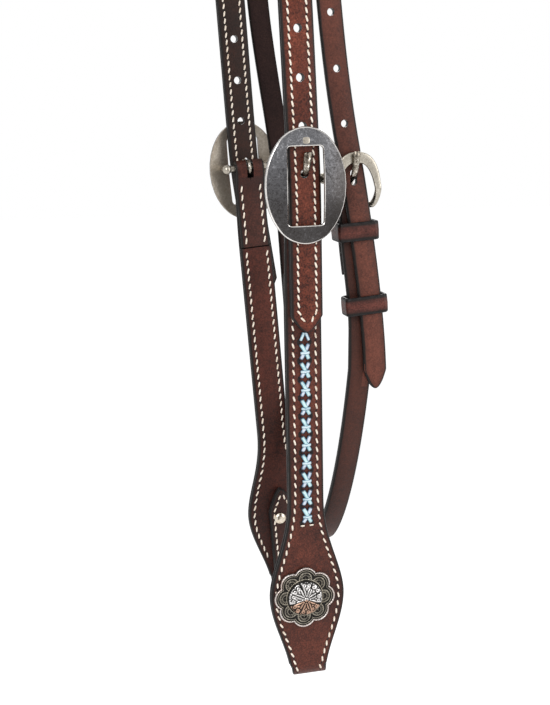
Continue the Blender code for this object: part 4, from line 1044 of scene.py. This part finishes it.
# ---------------------------------------------------------------- cheeks
def build_cheek(side, place):
    body = side + "_cheek"
    outer = Strip(cheek_leather_stations(side), LAYER, AXIS_X, place)
    inner = Strip(cheek_lining_stations(side), LAYER, AXIS_X, place)
    total = outer.total
    # outside grain_run the turnback and the flap get the darker fold leather: painted shade
    make_strap(side + "_cheek_outer", outer, CHEEK_BROWN, body, side + "_cheek_leather",
               tongue_slot(place), FOLD_SHADE_BROWN, (TURNBACK - 5 * MM, total - 60 * MM))
    make_strap(side + "_cheek_backing", inner, CHEEK_LINING, body, side + "_cheek_lining")

    def flap_half(s, _):
        return (FLAP_WIDTH / 2 - 2.5 * MM) * min(1.0, smooth_step((total - s) / (17 * MM)) + 0.04)
    down = place.to_3x3().col[2]
    hanging = [s for s, axes in zip(outer.lengths, outer.frames) if axes[2].dot(down) < -0.99]
    start, stop = hanging[0], hanging[-1]
    store = (Shell(), Shell())
    spread = (start + 150 * MM, 34 * MM, 0.9 * MM, 0.2 * MM)
    both_rows(outer, 1, start + 12 * MM, stop + 3 * MM, store, from_edge(outer, ROW_INSET, spread),
              0.26, 21, share=0.62)
    both_rows(outer, 1, 1.4 * MM, TURNBACK - 9 * MM, store, from_edge(outer, 2.9 * MM), -0.25, 25)
    both_rows(outer, 1, total - 62 * MM, total - 3.2 * MM, store, flap_half, -0.2, 31, FLAP_PITCH)
    finish_stitches(side + "_cheek_face", store, body, "bridle_leather")
    store = (Shell(), Shell())
    lining_stop = LOBE_DROP + 26 * MM - RISE[side] - TURNBACK
    both_rows(inner, -1, 1.8 * MM, lining_stop, store, from_edge(inner, 3.2 * MM), -0.28, 41)
    finish_stitches(side + "_cheek_back", store, body, "lining_leather")


def build_lacing(side, place):
    """Crossed laces with a short bar over each crossing."""
    body = side + "_cheek"
    net, lace_shade_and_tint = Shell(), []

    def lace(start, end, low, high, radius, family, dip=(1.0, 1.0)):
        """One flattened lace from start to end, (x, z) on the cheek's face."""
        a, b = Vector((start[0], 0, start[1])), Vector((end[0], 0, end[1]))
        side_way = AXIS_Y.cross(b - a).normalized()
        rings = []
        for share in (0.0, 0.08, 0.22, 0.5, 0.78, 0.92, 1.0):
            edge, sink = abs(2 * share - 1), dip[0] if share < 0.5 else dip[1]
            height = CHEEK_FACE + between(low, high, math.sin(math.pi * share))
            height -= edge ** 3 * 0.45 * MM * sink
            width = radius * (0.8 + 0.2 * min(1.0, (1 - edge) * 5))
            spots = []
            for c, s in circle(10):
                level = height + s * radius * 0.62
                spots.append(place @ (a + (b - a) * share + side_way * c * width + AXIS_Y * level))
                # per vertex: painted shade at the sunk ends, the lace's tint family, and its height round the
                # lace for the painted top highlight
                lace_shade_and_tint.extend((edge ** 4 * sink, family, s))
            rings.append(net.ring(spots))
        net.skin(rings)

    half, reach = LACE_HALF_WIDTH - 0.9 * MM, LACE_PITCH / 2 - 0.7 * MM
    rng = random.Random(5)
    for i in range(-1, LACE_CROSSES):
        z = -(LACE_FIRST_DROP + i * LACE_PITCH)
        lean = rng.uniform(-1, 1) * LACE_JITTER
        top, low = z + reach, z - reach
        if i >= 0:
            lace((-half, top), (half, low + lean), 0.55 * MM, 0.7 * MM, 1.14 * MM, 1.0)
            lace((half, top + lean), (-half, low), 0.55 * MM, 1.15 * MM, 1.16 * MM, 0.0)
            lace((-half * 1.06, z - 0.5 * MM), (half * 1.06, z - 0.62 * MM), 0.8 * MM, 1.55 * MM,
                 0.9 * MM, 0.5, (0.3, 0.3))
        else:
            for sign, family in ((-1, 0.6), (1, 0.3)):
                lace((sign * 0.5 * MM, z + 0.2 * MM), (sign * half, low), 0.55 * MM, 0.8 * MM, 0.86 * MM,
                     family, (0.0, 1.0))
    obj = net.piece(side + "_lacing_net", LACE, body, node=side + "_lacing", slot="blue_lace")
    store_vectors(obj, "lace_shade_and_tint", lace_shade_and_tint)
    up, run = ((place.to_3x3() @ axis).normalized() for axis in (AXIS_Y, AXIS_Z))
    holes, ends = Shell(), Shell()
    for i in range(LACE_CROSSES + 1):
        z = -(LACE_FIRST_DROP + (i - 0.5) * LACE_PITCH)
        for sign in (-1, 1):
            spot = place @ Vector((sign * LACE_HALF_WIDTH * 0.97, CHEEK_FACE - SEAM, z))
            holes.lens(spot, up, run, 1.7 * MM, 0.95 * MM)
    holes.piece(side + "_lace_holes", AWL_DARK, body, slot="bridle_leather")
    z -= 0.8 * MM
    for middle in (-2.4 * MM, 2.4 * MM):
        start, end = (place @ Vector((middle + way, CHEEK_FACE, z)) for way in (-1.1 * MM, 1.1 * MM))
        ends.capsule(start, end, up, 0.45 * MM, 0.3 * MM)
    ends.piece(side + "_lace_end_stitches", THREAD, body, slot="blue_lace")


# ---------------------------------------------------------------- conchos
def lobe_radius(angle):
    """Scalloped outline: eight round lobes."""
    step = 2 * math.pi / CONCHO_LOBES
    delta = (angle + step / 2) % step - step / 2
    ring, lobe = CONCHO_RADIUS * 0.62, CONCHO_RADIUS * 0.38
    across = ring * math.sin(delta)
    return ring * math.cos(delta) + math.sqrt(max(lobe * lobe - across * across, 0.0)), delta


def ridge(distance, width):
    return max(0.0, 1 - (distance / width) ** 2)


def line(distance, width):
    return math.exp(-(distance / width) ** 2)


def dome_relief(r, angle):
    """Eight engraved petals, each with a forked rib and a pair of scrolls."""
    step = 2 * math.pi / CONCHO_LOBES
    t = r / CONCHO_DOME_CARVED
    turned_by = (angle + step / 2) / step
    index = math.floor(turned_by) % CONCHO_LOBES
    petal = turned_by - math.floor(turned_by) - 0.5
    petal += 0.05 * math.sin(index * 2.3 + 3 * t) * t
    x, width = petal * step * r, step * r / 2
    groove = line(width - abs(x), (0.22 + 0.3 * t) * MM) * smooth_step((t - 0.12) / 0.08)
    fork_x = width * 0.42 * smooth_step((t - 0.34) / 0.3)
    rib = line(abs(x) - fork_x, 0.3 * MM) * smooth_step((t - 0.2) / 0.08) * smooth_step((0.66 - t) / 0.06)
    off_x = abs(x) - width * 0.44
    off_r = r - CONCHO_DOME_CARVED * (0.76 + 0.03 * math.cos(index * 1.7))
    around = math.atan2(off_x, off_r) + (1.1 if x > 0 else -0.8) + 0.4 * index
    curl_r = math.hypot(off_x, off_r)
    curl = line(curl_r - 1.25 * MM, 0.33 * MM) * smooth_step((math.cos(around) + 0.62) / 0.3)
    notch = line(x, 0.3 * MM) * smooth_step((t - 0.84) / 0.05)
    hub = max(line(r - 1.4 * MM, 0.3 * MM), line(r, 0.4 * MM))
    gap = line(r - CONCHO_DOME_CARVED * 0.97, 0.22 * MM)
    deep = max(groove, rib, curl, line(curl_r, 0.36 * MM), notch, hub, gap)
    height = 1.0 * MM + (CONCHO_DOME_HEIGHT - 0.6 * MM) * math.sqrt(max(0.0, 1 - (t * 0.96) ** 2))
    return height - deep * 0.45 * MM, deep


def concho_relief(r, angle):
    """Height above the base plate and depth of antiquing, both by place."""
    rim, delta = lobe_radius(angle)
    if r < CONCHO_DOME_CARVED:
        return dome_relief(r, angle)
    inset = rim - r
    rope = 0.86 + 0.14 * math.cos(delta * rim / (0.62 * MM) * 3.2 + inset / MM * 3.0)
    bead = ridge(inset - 0.5 * MM, 0.66 * MM) * rope
    second = ridge(inset - 1.72 * MM, 0.32 * MM)
    x, y = r * math.sin(delta), r * math.cos(delta) - CONCHO_RADIUS * 0.62
    arc_r, turn = math.hypot(x, y), math.atan2(x, y)
    leaf = line(arc_r - 3.3 * MM, 0.27 * MM)
    inner = line(arc_r - 1.9 * MM, 0.24 * MM)
    hatch = (0.5 + 0.5 * math.cos(turn * 17)) * smooth_step((arc_r - 2.1 * MM) / (0.2 * MM))
    hatch *= smooth_step((3.1 * MM - arc_r) / (0.2 * MM))
    seed_dot = line(math.hypot(x, y - 0.5 * MM), 0.42 * MM)
    collar = ridge(r - CONCHO_DOME_CARVED - 0.4 * MM, 0.42 * MM)
    field = smooth_step((inset - 2.0 * MM) / (0.3 * MM))
    raised = max(leaf, inner * 0.9, hatch * 0.75, seed_dot * 0.8) * field
    height = 0.35 * MM + 0.85 * MM * bead + 0.38 * MM * second + 0.36 * MM * raised + 0.3 * MM * collar
    deep = 1.0 - max(bead * 1.2, second * 0.8, raised * 0.85, collar * 0.9)
    return height, min(max(deep, 0.0), 1.0)


def build_concho(side, place):
    """Rings from the dome's middle to the lobes' rim, then back under the rim."""
    shell, values = Shell(), []
    tilt, dome, split = math.radians(-3.0), CONCHO_DOME_CARVED, 0.52
    angles = [2 * math.pi * j / CONCHO_SECTORS for j in range(CONCHO_SECTORS)]

    def put(r, angle, height, deep):
        on_dome = r < dome
        # a copper colour set by angle, strongest on the dome's lower side; the field gets a fixed share
        copper = smooth_step((-math.cos(angle + tilt) - 0.30) / 0.14) * 0.9 if on_dome else 0.42
        field = 0.0 if on_dome else smooth_step((lobe_radius(angle)[0] - r - 1.2 * MM) / (0.25 * MM))
        values.extend((deep, copper, field))
        x, z = r * math.sin(angle + tilt), r * math.cos(angle + tilt)
        return place @ Vector((CONCHO_SHIFT[side] + x, CHEEK_FACE + height, z - LOBE_DROP))

    def carved(share, angle):
        rim = lobe_radius(angle)[0]
        r = dome * share / split if share < split else dome + (rim - dome) * (share - split) / (1 - split)
        height, deep = concho_relief(min(r, rim), angle)
        return put(r, angle, 0.55 * MM + height, deep)
    rings = [shell.ring([put(0.0, 0.0, 0.55 * MM + concho_relief(0.0, 0.0)[0], 0.0)])]
    for i in range(1, CONCHO_RINGS + 1):
        rings.append(shell.ring([carved(i / CONCHO_RINGS, angle) for angle in angles]))
    for grow, height, deep in ((0.05 * MM, 0.45 * MM, 0.5), (-0.5 * MM, 0.0, 0.8)):
        rings.append(shell.ring([put(lobe_radius(angle)[0] + grow, angle, height, deep)
                                 for angle in angles]))
    shell.skin(rings)
    obj = shell.piece(side + "_concho_carved", SILVER, side + "_cheek", 70, side + "_concho",
                      "antique_silver")
    store_vectors(obj, "deep", values)


def build_concho_screw(side, place):
    inner = FOLD_RADIUS - 3 * PLY - LAYER / 2 - SEAM
    shank, head, rim = FOLD_RADIUS + LAYER / 2 - inner, SCREW_HEAD_RADIUS, 0.25 * MM
    points = [(0, shank), (SCREW_SHANK, shank), (SCREW_SHANK, 0), (head, 0.0), (head, -rim)]
    points += domed(head, -rim, rim - SCREW_HEAD_HEIGHT) + [(0, -SCREW_HEAD_HEIGHT)]
    spot = Matrix.Translation((CONCHO_SHIFT[side], inner, -LOBE_DROP))
    shell = turned(points, place @ spot @ Matrix.Rotation(-math.pi / 2, 4, "X"))
    shell.piece(side + "_concho_screw_head", SCREW_METAL, side + "_cheek", 50, side + "_concho_screw",
                "nickel")


# ---------------------------------------------------------------- cheek buckles
def plate_height(x, z):
    rim = BAR_INSET + CROWN_HALF + SEAM + PLATE_THICKNESS / 2 + SEAM
    return rim + PLATE_DOME * (1 - (x / PLATE_HALF_WIDTH) ** 2 - (z / PLATE_HALF_HEIGHT) ** 2)


def window_outline(side_steps=14):
    """The window's outline, with extra points along its straight sides."""
    w, h = WINDOW_HALF_WIDTH, WINDOW_HALF_HEIGHT
    path = rounded(-w, w, -h, h, WINDOW_CORNER)
    points = []
    for n, (x, z, _) in enumerate(path):
        points.append((x + WINDOW_SHIFT, z))
        if n % CORNER_STEPS == CORNER_STEPS - 1:
            next_x, next_z, _ = path[(n + 1) % len(path)]
            shares = [i / side_steps for i in range(1, side_steps)]
            points += [(between(x, next_x, t) + WINDOW_SHIFT, between(z, next_z, t)) for t in shares]
    return points


def build_plate(side, place):
    window, thick, bevel, steps = window_outline(), PLATE_THICKNESS / 2, PLATE_BEVEL, 12

    def spot(wx, wz, share, level, pull):
        """A place from the window's edge (share 0) to the oval's (share 1)."""
        angle = math.atan2(wz / PLATE_HALF_HEIGHT, wx / PLATE_HALF_WIDTH)
        way = Vector((PLATE_HALF_WIDTH * math.cos(angle) - wx, PLATE_HALF_HEIGHT * math.sin(angle) - wz))
        t = share + pull / way.length
        x, z = wx + way.x * t, wz + way.y * t
        return place @ Vector((x, plate_height(x, z) + level, z - PLATE_BELOW_BAR))
    layout = [(0, -thick, bevel * 0.4), (0, -thick * 0.5, 0.0), (0, thick - bevel, 0.0),
              (0, thick - bevel * 0.45, bevel * 0.3), (0, thick, bevel)]
    layout += [(i / steps, thick, 0.0) for i in range(1, steps)]
    layout += [(1, thick, -bevel * 1.3), (1, thick - bevel * 0.3, -bevel * 0.6),
               (1, thick - bevel * 0.9, -bevel * 0.1), (1, 0, 0.0), (1, -thick * 0.8, -bevel * 0.2),
               (1, -thick, -bevel)]
    layout += [(i / steps, -thick, 0.0) for i in range(steps - 1, 0, -1)]
    shell = Shell()
    shell.skin([shell.ring([spot(x, z, *row) for x, z in window]) for row in layout], closed=True)
    obj = shell.piece(side + "_oval_plate", PLATE_STEEL, "headstall", 30, side + "_buckle_plate",
                      "polished_steel")
    obj.data.materials.append(BEVEL)
    obj.data.materials.append(PLATE_BACK)
    outer_rim = 4 + steps
    for face in obj.data.polygons:
        row = face.index // len(window)
        # bevel rows: polished, with a painted rim highlight
        if row in (2, 3, outer_rim, outer_rim + 1):
            face.material_index = 1
        elif row >= outer_rim + 4:
            face.material_index = 2
    z = WINDOW_HALF_HEIGHT + 2.6 * MM
    top = plate_height(0, z) + thick
    rivet, rings = Shell(), []
    for level, grow in ((-0.2 * MM, 1.75 * MM), (0.12 * MM, 1.7 * MM), (0.22 * MM, 1.4 * MM)):
        rings.append(rivet.ring([place @ Vector((grow * squared(c, 0.5), top + level,
                                                 z + grow * squared(s, 0.5) - PLATE_BELOW_BAR))
                                 for c, s in circle(16)]))
    rivet.skin(rings)
    rivet.piece(side + "_plate_rivet", NICKEL, "headstall", 30, slot="nickel")


def build_bar(side, place):
    """The bar with its two posts up to the plate, and a ball at each bend."""
    back = plate_height(POST_REACH, PLATE_BELOW_BAR) - PLATE_THICKNESS / 2 - SEAM * 2
    r, reach, ball = BAR_RADIUS, POST_REACH, POST_BALL_RADIUS
    post = [(reach, back), (reach, back * 0.5), (reach, r), (reach - r * 0.3, r * 0.3), (reach - r, 0)]
    points = [(-x, y, 0) for x, y in post] + [(0, 0, 0)] + [(x, y, 0) for x, y in reversed(post)]
    shell = tube(points, [r] * len(points), place)
    shell.piece(side + "_bar_rod", NICKEL, "headstall", 50, side + "_buckle_bar", "polished_steel")
    angles = [math.pi * i / 16 for i in range(1, 16)]
    outline = [(0, ball), *((ball * math.sin(a), ball * math.cos(a)) for a in angles), (0, -ball)]
    for label, sign in (("front", -1), ("rear", 1)):
        shell = turned(outline, place @ Matrix.Translation((sign * reach, 0, 0)))
        shell.piece(f"{side}_bar_ball_{label}", NICKEL, "headstall", 50, slot="polished_steel")


def eye_points(radius, start, sweep, steps):
    """A wire tongue's eye round its bar."""
    angles = [math.radians(start + sweep * i / steps) for i in range(steps + 1)]
    return [(0, radius * math.cos(angle), radius * math.sin(angle)) for angle in angles]


def wire_rod(points, wire, widths, heights, place):
    """A wire whose last points take shares of its width and height."""
    sizes = [[wire] * (len(points) - len(shares)) + [wire * share for share in shares]
             for shares in (widths, heights)]
    return tube(points, sizes[0], place, ups=sizes[1])


def build_tongue(side, place):
    wire, eye = TONGUE_RADIUS, TONGUE_EYE
    face = BAR_INSET + CROWN_HALF
    rest = face + wire + TONGUE_LIFT
    reach = WINDOW_HALF_HEIGHT - PLATE_BELOW_BAR - TONGUE_TIP_GAP
    lean = -1.3 * MM if side == "near" else 0.0
    points = eye_points(eye, -75, -195, 10)
    points += [(0, face - wire, eye), (0, face + wire, eye + wire / 2), (lean * 0.25, rest, eye + wire * 2),
               (lean * 0.6, rest, reach * 0.62), (lean, rest, reach - wire), (lean, rest, reach - 0.3 * MM),
               (lean, rest, reach)]
    shell = wire_rod(points, wire, (1.15, 1.4, 1.75, 1.95, 1.6, 0.8), (0.86, 0.35), place)
    mat = PEWTER if side == "near" else WORN_WIRE
    shell.piece(side + "_tongue_wire_rod", mat, side + "_tongue_wire", 50, side + "_tongue", "polished_steel")


# ---------------------------------------------------------------- throat latch
def build_throat():
    strip = Strip(throat_stations(), THROAT_LEATHER)
    heights = [THROAT_HOLE_Z + i * THROAT_HOLE_PITCH for i in range(THROAT_HOLES)]
    holes = [((near_throat_x(z), -near_throat_y(z), z), 0.0 if i else THROAT_HOLE_STRETCH)
             for i, z in enumerate(heights)]
    make_strap("throat_latch_leather", strip, THROAT_BROWN, "headstall", "throat_strap",
               punches(holes, THROAT_HOLE_RADIUS, THROAT_LEATHER + 2.0 * MM), FLESH_BROWN)
    place = facing(FRAME_X, -(THROAT_REACH - THROAT_BAR_INSET), -THROAT_BAR_DROP, THROAT_FRAME_LEAN)

    # The ring: a flat band that rises forward from the bar and narrows towards it
    front = THROAT_BAR_INSET + THROAT_LEATHER / 2 + SEAM + THROAT_BAR_RADIUS
    foot = 1.5 * MM
    points, wide = [(-9.6 * MM, 0, 0)], [foot]
    for i in range(17):
        angle = math.pi * i / 16
        c, s = math.cos(angle), max(0.0, math.sin(angle))
        z = 1.6 * MM + 22.9 * MM * s**0.8
        lift = min(1.0, (z / (8 * MM)) ** 0.6)
        points.append((-0.8 * MM - 11.2 * MM * squared(c, 0.8), front * lift, z))
        wide.append(1.45 * MM + 1.3 * MM * s**1.5)
    points.append((9.0 * MM, 0, 0))
    wide.append(foot)
    thick = [foot - 0.45 * MM * y / front for _, y, _ in points]
    shell = tube(points, wide, place, 24, True, thick, 0.55, AXIS_Y)
    shell.piece("throat_buckle_ring", NICKEL, "headstall", 50, "throat_buckle_frame", "nickel")

    eye, wire, bar, rise, hole = (THROAT_EYE, THROAT_TONGUE_RADIUS, THROAT_BAR_RADIUS, THROAT_FRAME_RISE,
                                  THROAT_HOLE_RISE)
    behind = THROAT_BAR_INSET - THROAT_LEATHER / 2 - wire - SEAM * 3
    over = front + bar + wire + SEAM
    points = eye_points(eye, -40, -160, 8)
    points += [(0, behind * 0.55, eye * 1.9), (0, behind, hole - wire * 3), (0, THROAT_BAR_INSET, hole),
               (0, THROAT_BAR_INSET + THROAT_LEATHER / 2 + wire, hole + wire * 2),
               (0, over, rise - bar), (0, over, rise + bar / 2)]
    shell = wire_rod(points, wire, (1.15, 1.35, 1.45, 1.6, 1.45), (0.8,), place)
    shell.piece("throat_tongue_rod", WORN_WIRE, "throat_tongue_wire", 50, "throat_tongue", "nickel")


def build_keeper(name, plies):
    z = -KEEPER_DROPS[name]
    x, step, tall = (near_throat_x(z) + near_lower_x(z)) / 2, 12.0 * MM, KEEPER_HEIGHT / 2
    lean = math.atan((near_lower_x(z - step) - near_lower_x(z + step)) / (2 * step))
    place = facing(x, -near_throat_y(z), z, lean)
    room = THROAT_LEATHER / 2 + KEEPER_CLEARANCE + KEEPER_WALL / 2
    apart = max(abs(near_throat_x(end) - near_lower_x(end)) for end in (z - tall, z + tall))
    half = (apart + THROAT_WIDTH) / 2 + KEEPER_EASE + KEEPER_WALL / 2
    path = rounded(-half, half, -(room + plies * THROAT_PLY), room, KEEPER_CORNER)
    shell, lay, rings, along = Shell(), [], [], 0.0
    section = profile(tall, KEEPER_WALL / 2)
    for n, (px, py, angle) in enumerate(path):
        out = Vector((math.cos(angle), math.sin(angle), 0))
        spots = []
        for u, w in section:
            puff = 0.22 * MM * (1 - (u / tall) ** 2) if w > 0 else 0.0
            spots.append(place @ (Vector((px, py, 0)) + out * (w + puff) + AXIS_Z * u))
            lay += [u, along, tall - abs(u)]
        rings.append(shell.ring(spots))
        next_x, next_y, _ = path[(n + 1) % len(path)]
        along += math.hypot(next_x - px, next_y - py)
    shell.skin(rings, closed=True)
    obj = shell.piece(name + "_loop", KEEPER_BROWN, name + "_ring", 50, name, "throat_leather")
    store_vectors(obj, "lay", lay)
    obj.data.materials.append(EDGE)
    for face in obj.data.polygons:
        if face.index % len(section) % (len(section) // 2) >= 2:
            face.material_index = 1


# ---------------------------------------------------------------- browband
def build_browband():
    body, z = "browband_set", -BROW_DROP
    near, off = brow_loop("near"), brow_loop("off")
    plan = [(x, -y) for x, y in near] + brow_bow()[1:-1] + off[::-1]
    band = Strip([((x, y, z), BROW_HEIGHT / 2) for x, y in plan], LAYER, AXIS_Z)
    make_strap("browband_leather", band, BROWN, body, "browband", back=FLESH_BROWN)
    inside = inside_line(brow_bow(), PLY)[5:-5]
    lining = Strip([((p.x, p.y, z), BROW_LINING_HEIGHT / 2) for p in inside], LAYER, AXIS_Z)
    make_strap("browband_backing", lining, LINING_BROWN, body, "browband_lining")
    face = 1 if band.frames[len(band.frames) // 2][1].x < 0 else -1
    rows = (("browband_face", "bridle_leather", band, face, band.lengths[len(near) - 12],
             band.lengths[12 - len(near)], 3.2 * MM, 61),
            ("browband_inside", "lining_leather", lining, -face, 2 * MM, lining.total - 2 * MM,
             2.2 * MM, 71))
    for name, slot, strip, way, start, stop, inset, seed in rows:
        store = (Shell(), Shell())
        both_rows(strip, way, start, stop, store, from_edge(strip, inset), seed=seed)
        finish_stitches(name, store, body, slot)
    under = -(LAYER * 2 + SEAM + SEAM)
    head, dome, rim = BROW_SCREW_HEAD, BROW_SCREW_DOME, SEAM + 0.2 * MM
    points = [(0, SEAM + dome)] + domed(head, rim, SEAM + dome - rim)[::-1]
    points += [(head, rim), (head, SEAM), (SCREW_SHANK, SEAM), (SCREW_SHANK, under), (head, under),
               (head, under - dome * 0.35), (head * 0.9, under - dome / 2), (0, under - dome / 2)]
    for side, sign in SIDES:
        x = brow_ends(side)[0] - (BROW_SETBACK + BROW_EASE) / 2
        turn = Matrix.Rotation(-sign * math.pi / 2, 4, "X")
        shell = turned(points, Matrix.Translation((x, sign * (BROW_OUTER + LAYER / 2), z)) @ turn)
        shell.piece(side + "_browband_screw_cap", NICKEL, body, 50, side + "_browband_screw", "nickel")


# ---------------------------------------------------------------- studio
def build_studio():
    """Camera at the photograph's angle, pale floor, white surroundings, three soft lamps."""
    scene = bpy.context.scene
    scene.view_settings.view_transform = "Standard"
    data = bpy.data.cameras.new("camera")
    data.lens, data.sensor_width, data.clip_start = 63.4, 36.0, 0.01
    camera = bpy.data.objects.new("camera", data)
    camera.location = (-0.1537, -0.6443, -0.2126)
    camera.rotation_euler = (math.radians(78.28), 0, math.radians(-15))
    scene.collection.objects.link(camera)
    scene.camera = camera

    white = (1.0, 1.0, 1.0, 1.0)
    scene.world = bpy.data.worlds.new("studio")
    sky = Nodes(scene.world)
    plain = sky.tree.nodes["Background"]
    sky.fill(plain, {"Color": white, "Strength": 0.55})
    bright = sky.add("Background", {"Color": white, "Strength": 1.0})
    lamps, shown = Value(sky, plain.outputs[0]), Value(sky, bright.outputs[0])
    mix = sky.add("MixShader", {0: sky.seen(), 1: lamps, 2: shown})
    sky.tree.links.new(mix.outputs[0], sky.tree.nodes["World Output"].inputs["Surface"])

    ground = Look("pale_floor")
    far = ground.add("VectorMath", {0: ground.where}, operation="LENGTH")
    glow = Value(ground, far.outputs["Value"]).ramp(0.5, 4.5, 0.40, 0.60)
    ground.fill(ground.shader, {"Emission Color": white, "Emission Strength": glow * ground.seen()})
    bm = bmesh.new()
    bmesh.ops.create_grid(bm, x_segments=2, y_segments=2, size=8.0)
    floor = new_object("floor", bm)
    floor.location = (0, 0, -1.05)
    floor.data.materials.append(ground.finish((0.9, 0.9, 0.9, 1), 1.0, specular=0.0))
    scene.collection.objects.link(floor)

    for name, place, size, power in (("key", (-0.9, -1.3, 0.55), (0.9, 0.9), 16.0),
                                     ("fill", (1.1, -1.0, 0.0), (0.7, 1.0), 7.0),
                                     ("back", (0.4, 1.3, 0.4), (1.0, 0.8), 10.0)):
        light = bpy.data.lights.new(name, "AREA")
        light.shape, light.energy = "RECTANGLE", power
        light.size, light.size_y = size
        obj = bpy.data.objects.new(name, light)
        obj.location = place
        obj.rotation_euler = (Vector((0, 0, -0.3)) - Vector(place)).to_track_quat("-Z", "Y").to_euler()
        scene.collection.objects.link(obj)


build_studio()
build_crown()
for which, way_out in SIDES:
    pivot = facing(CHEEK_X[which], way_out * (HALF_SPREAD - BAR_INSET), -BAR_DROP, CHEEK_LEAN[which],
                   which == "near")
    hung = pivot @ Matrix.Translation((0, 0, RISE[which]))
    build_cheek(which, pivot)
    build_lacing(which, hung)
    build_concho(which, hung)
    build_concho_screw(which, hung)
    build_plate(which, pivot)
    build_bar(which, pivot)
    build_tongue(which, pivot)
build_throat()
build_keeper("upper_keeper", 2)
build_keeper("lower_keeper", 1)
build_browband()

bpy.context.view_layer.update()
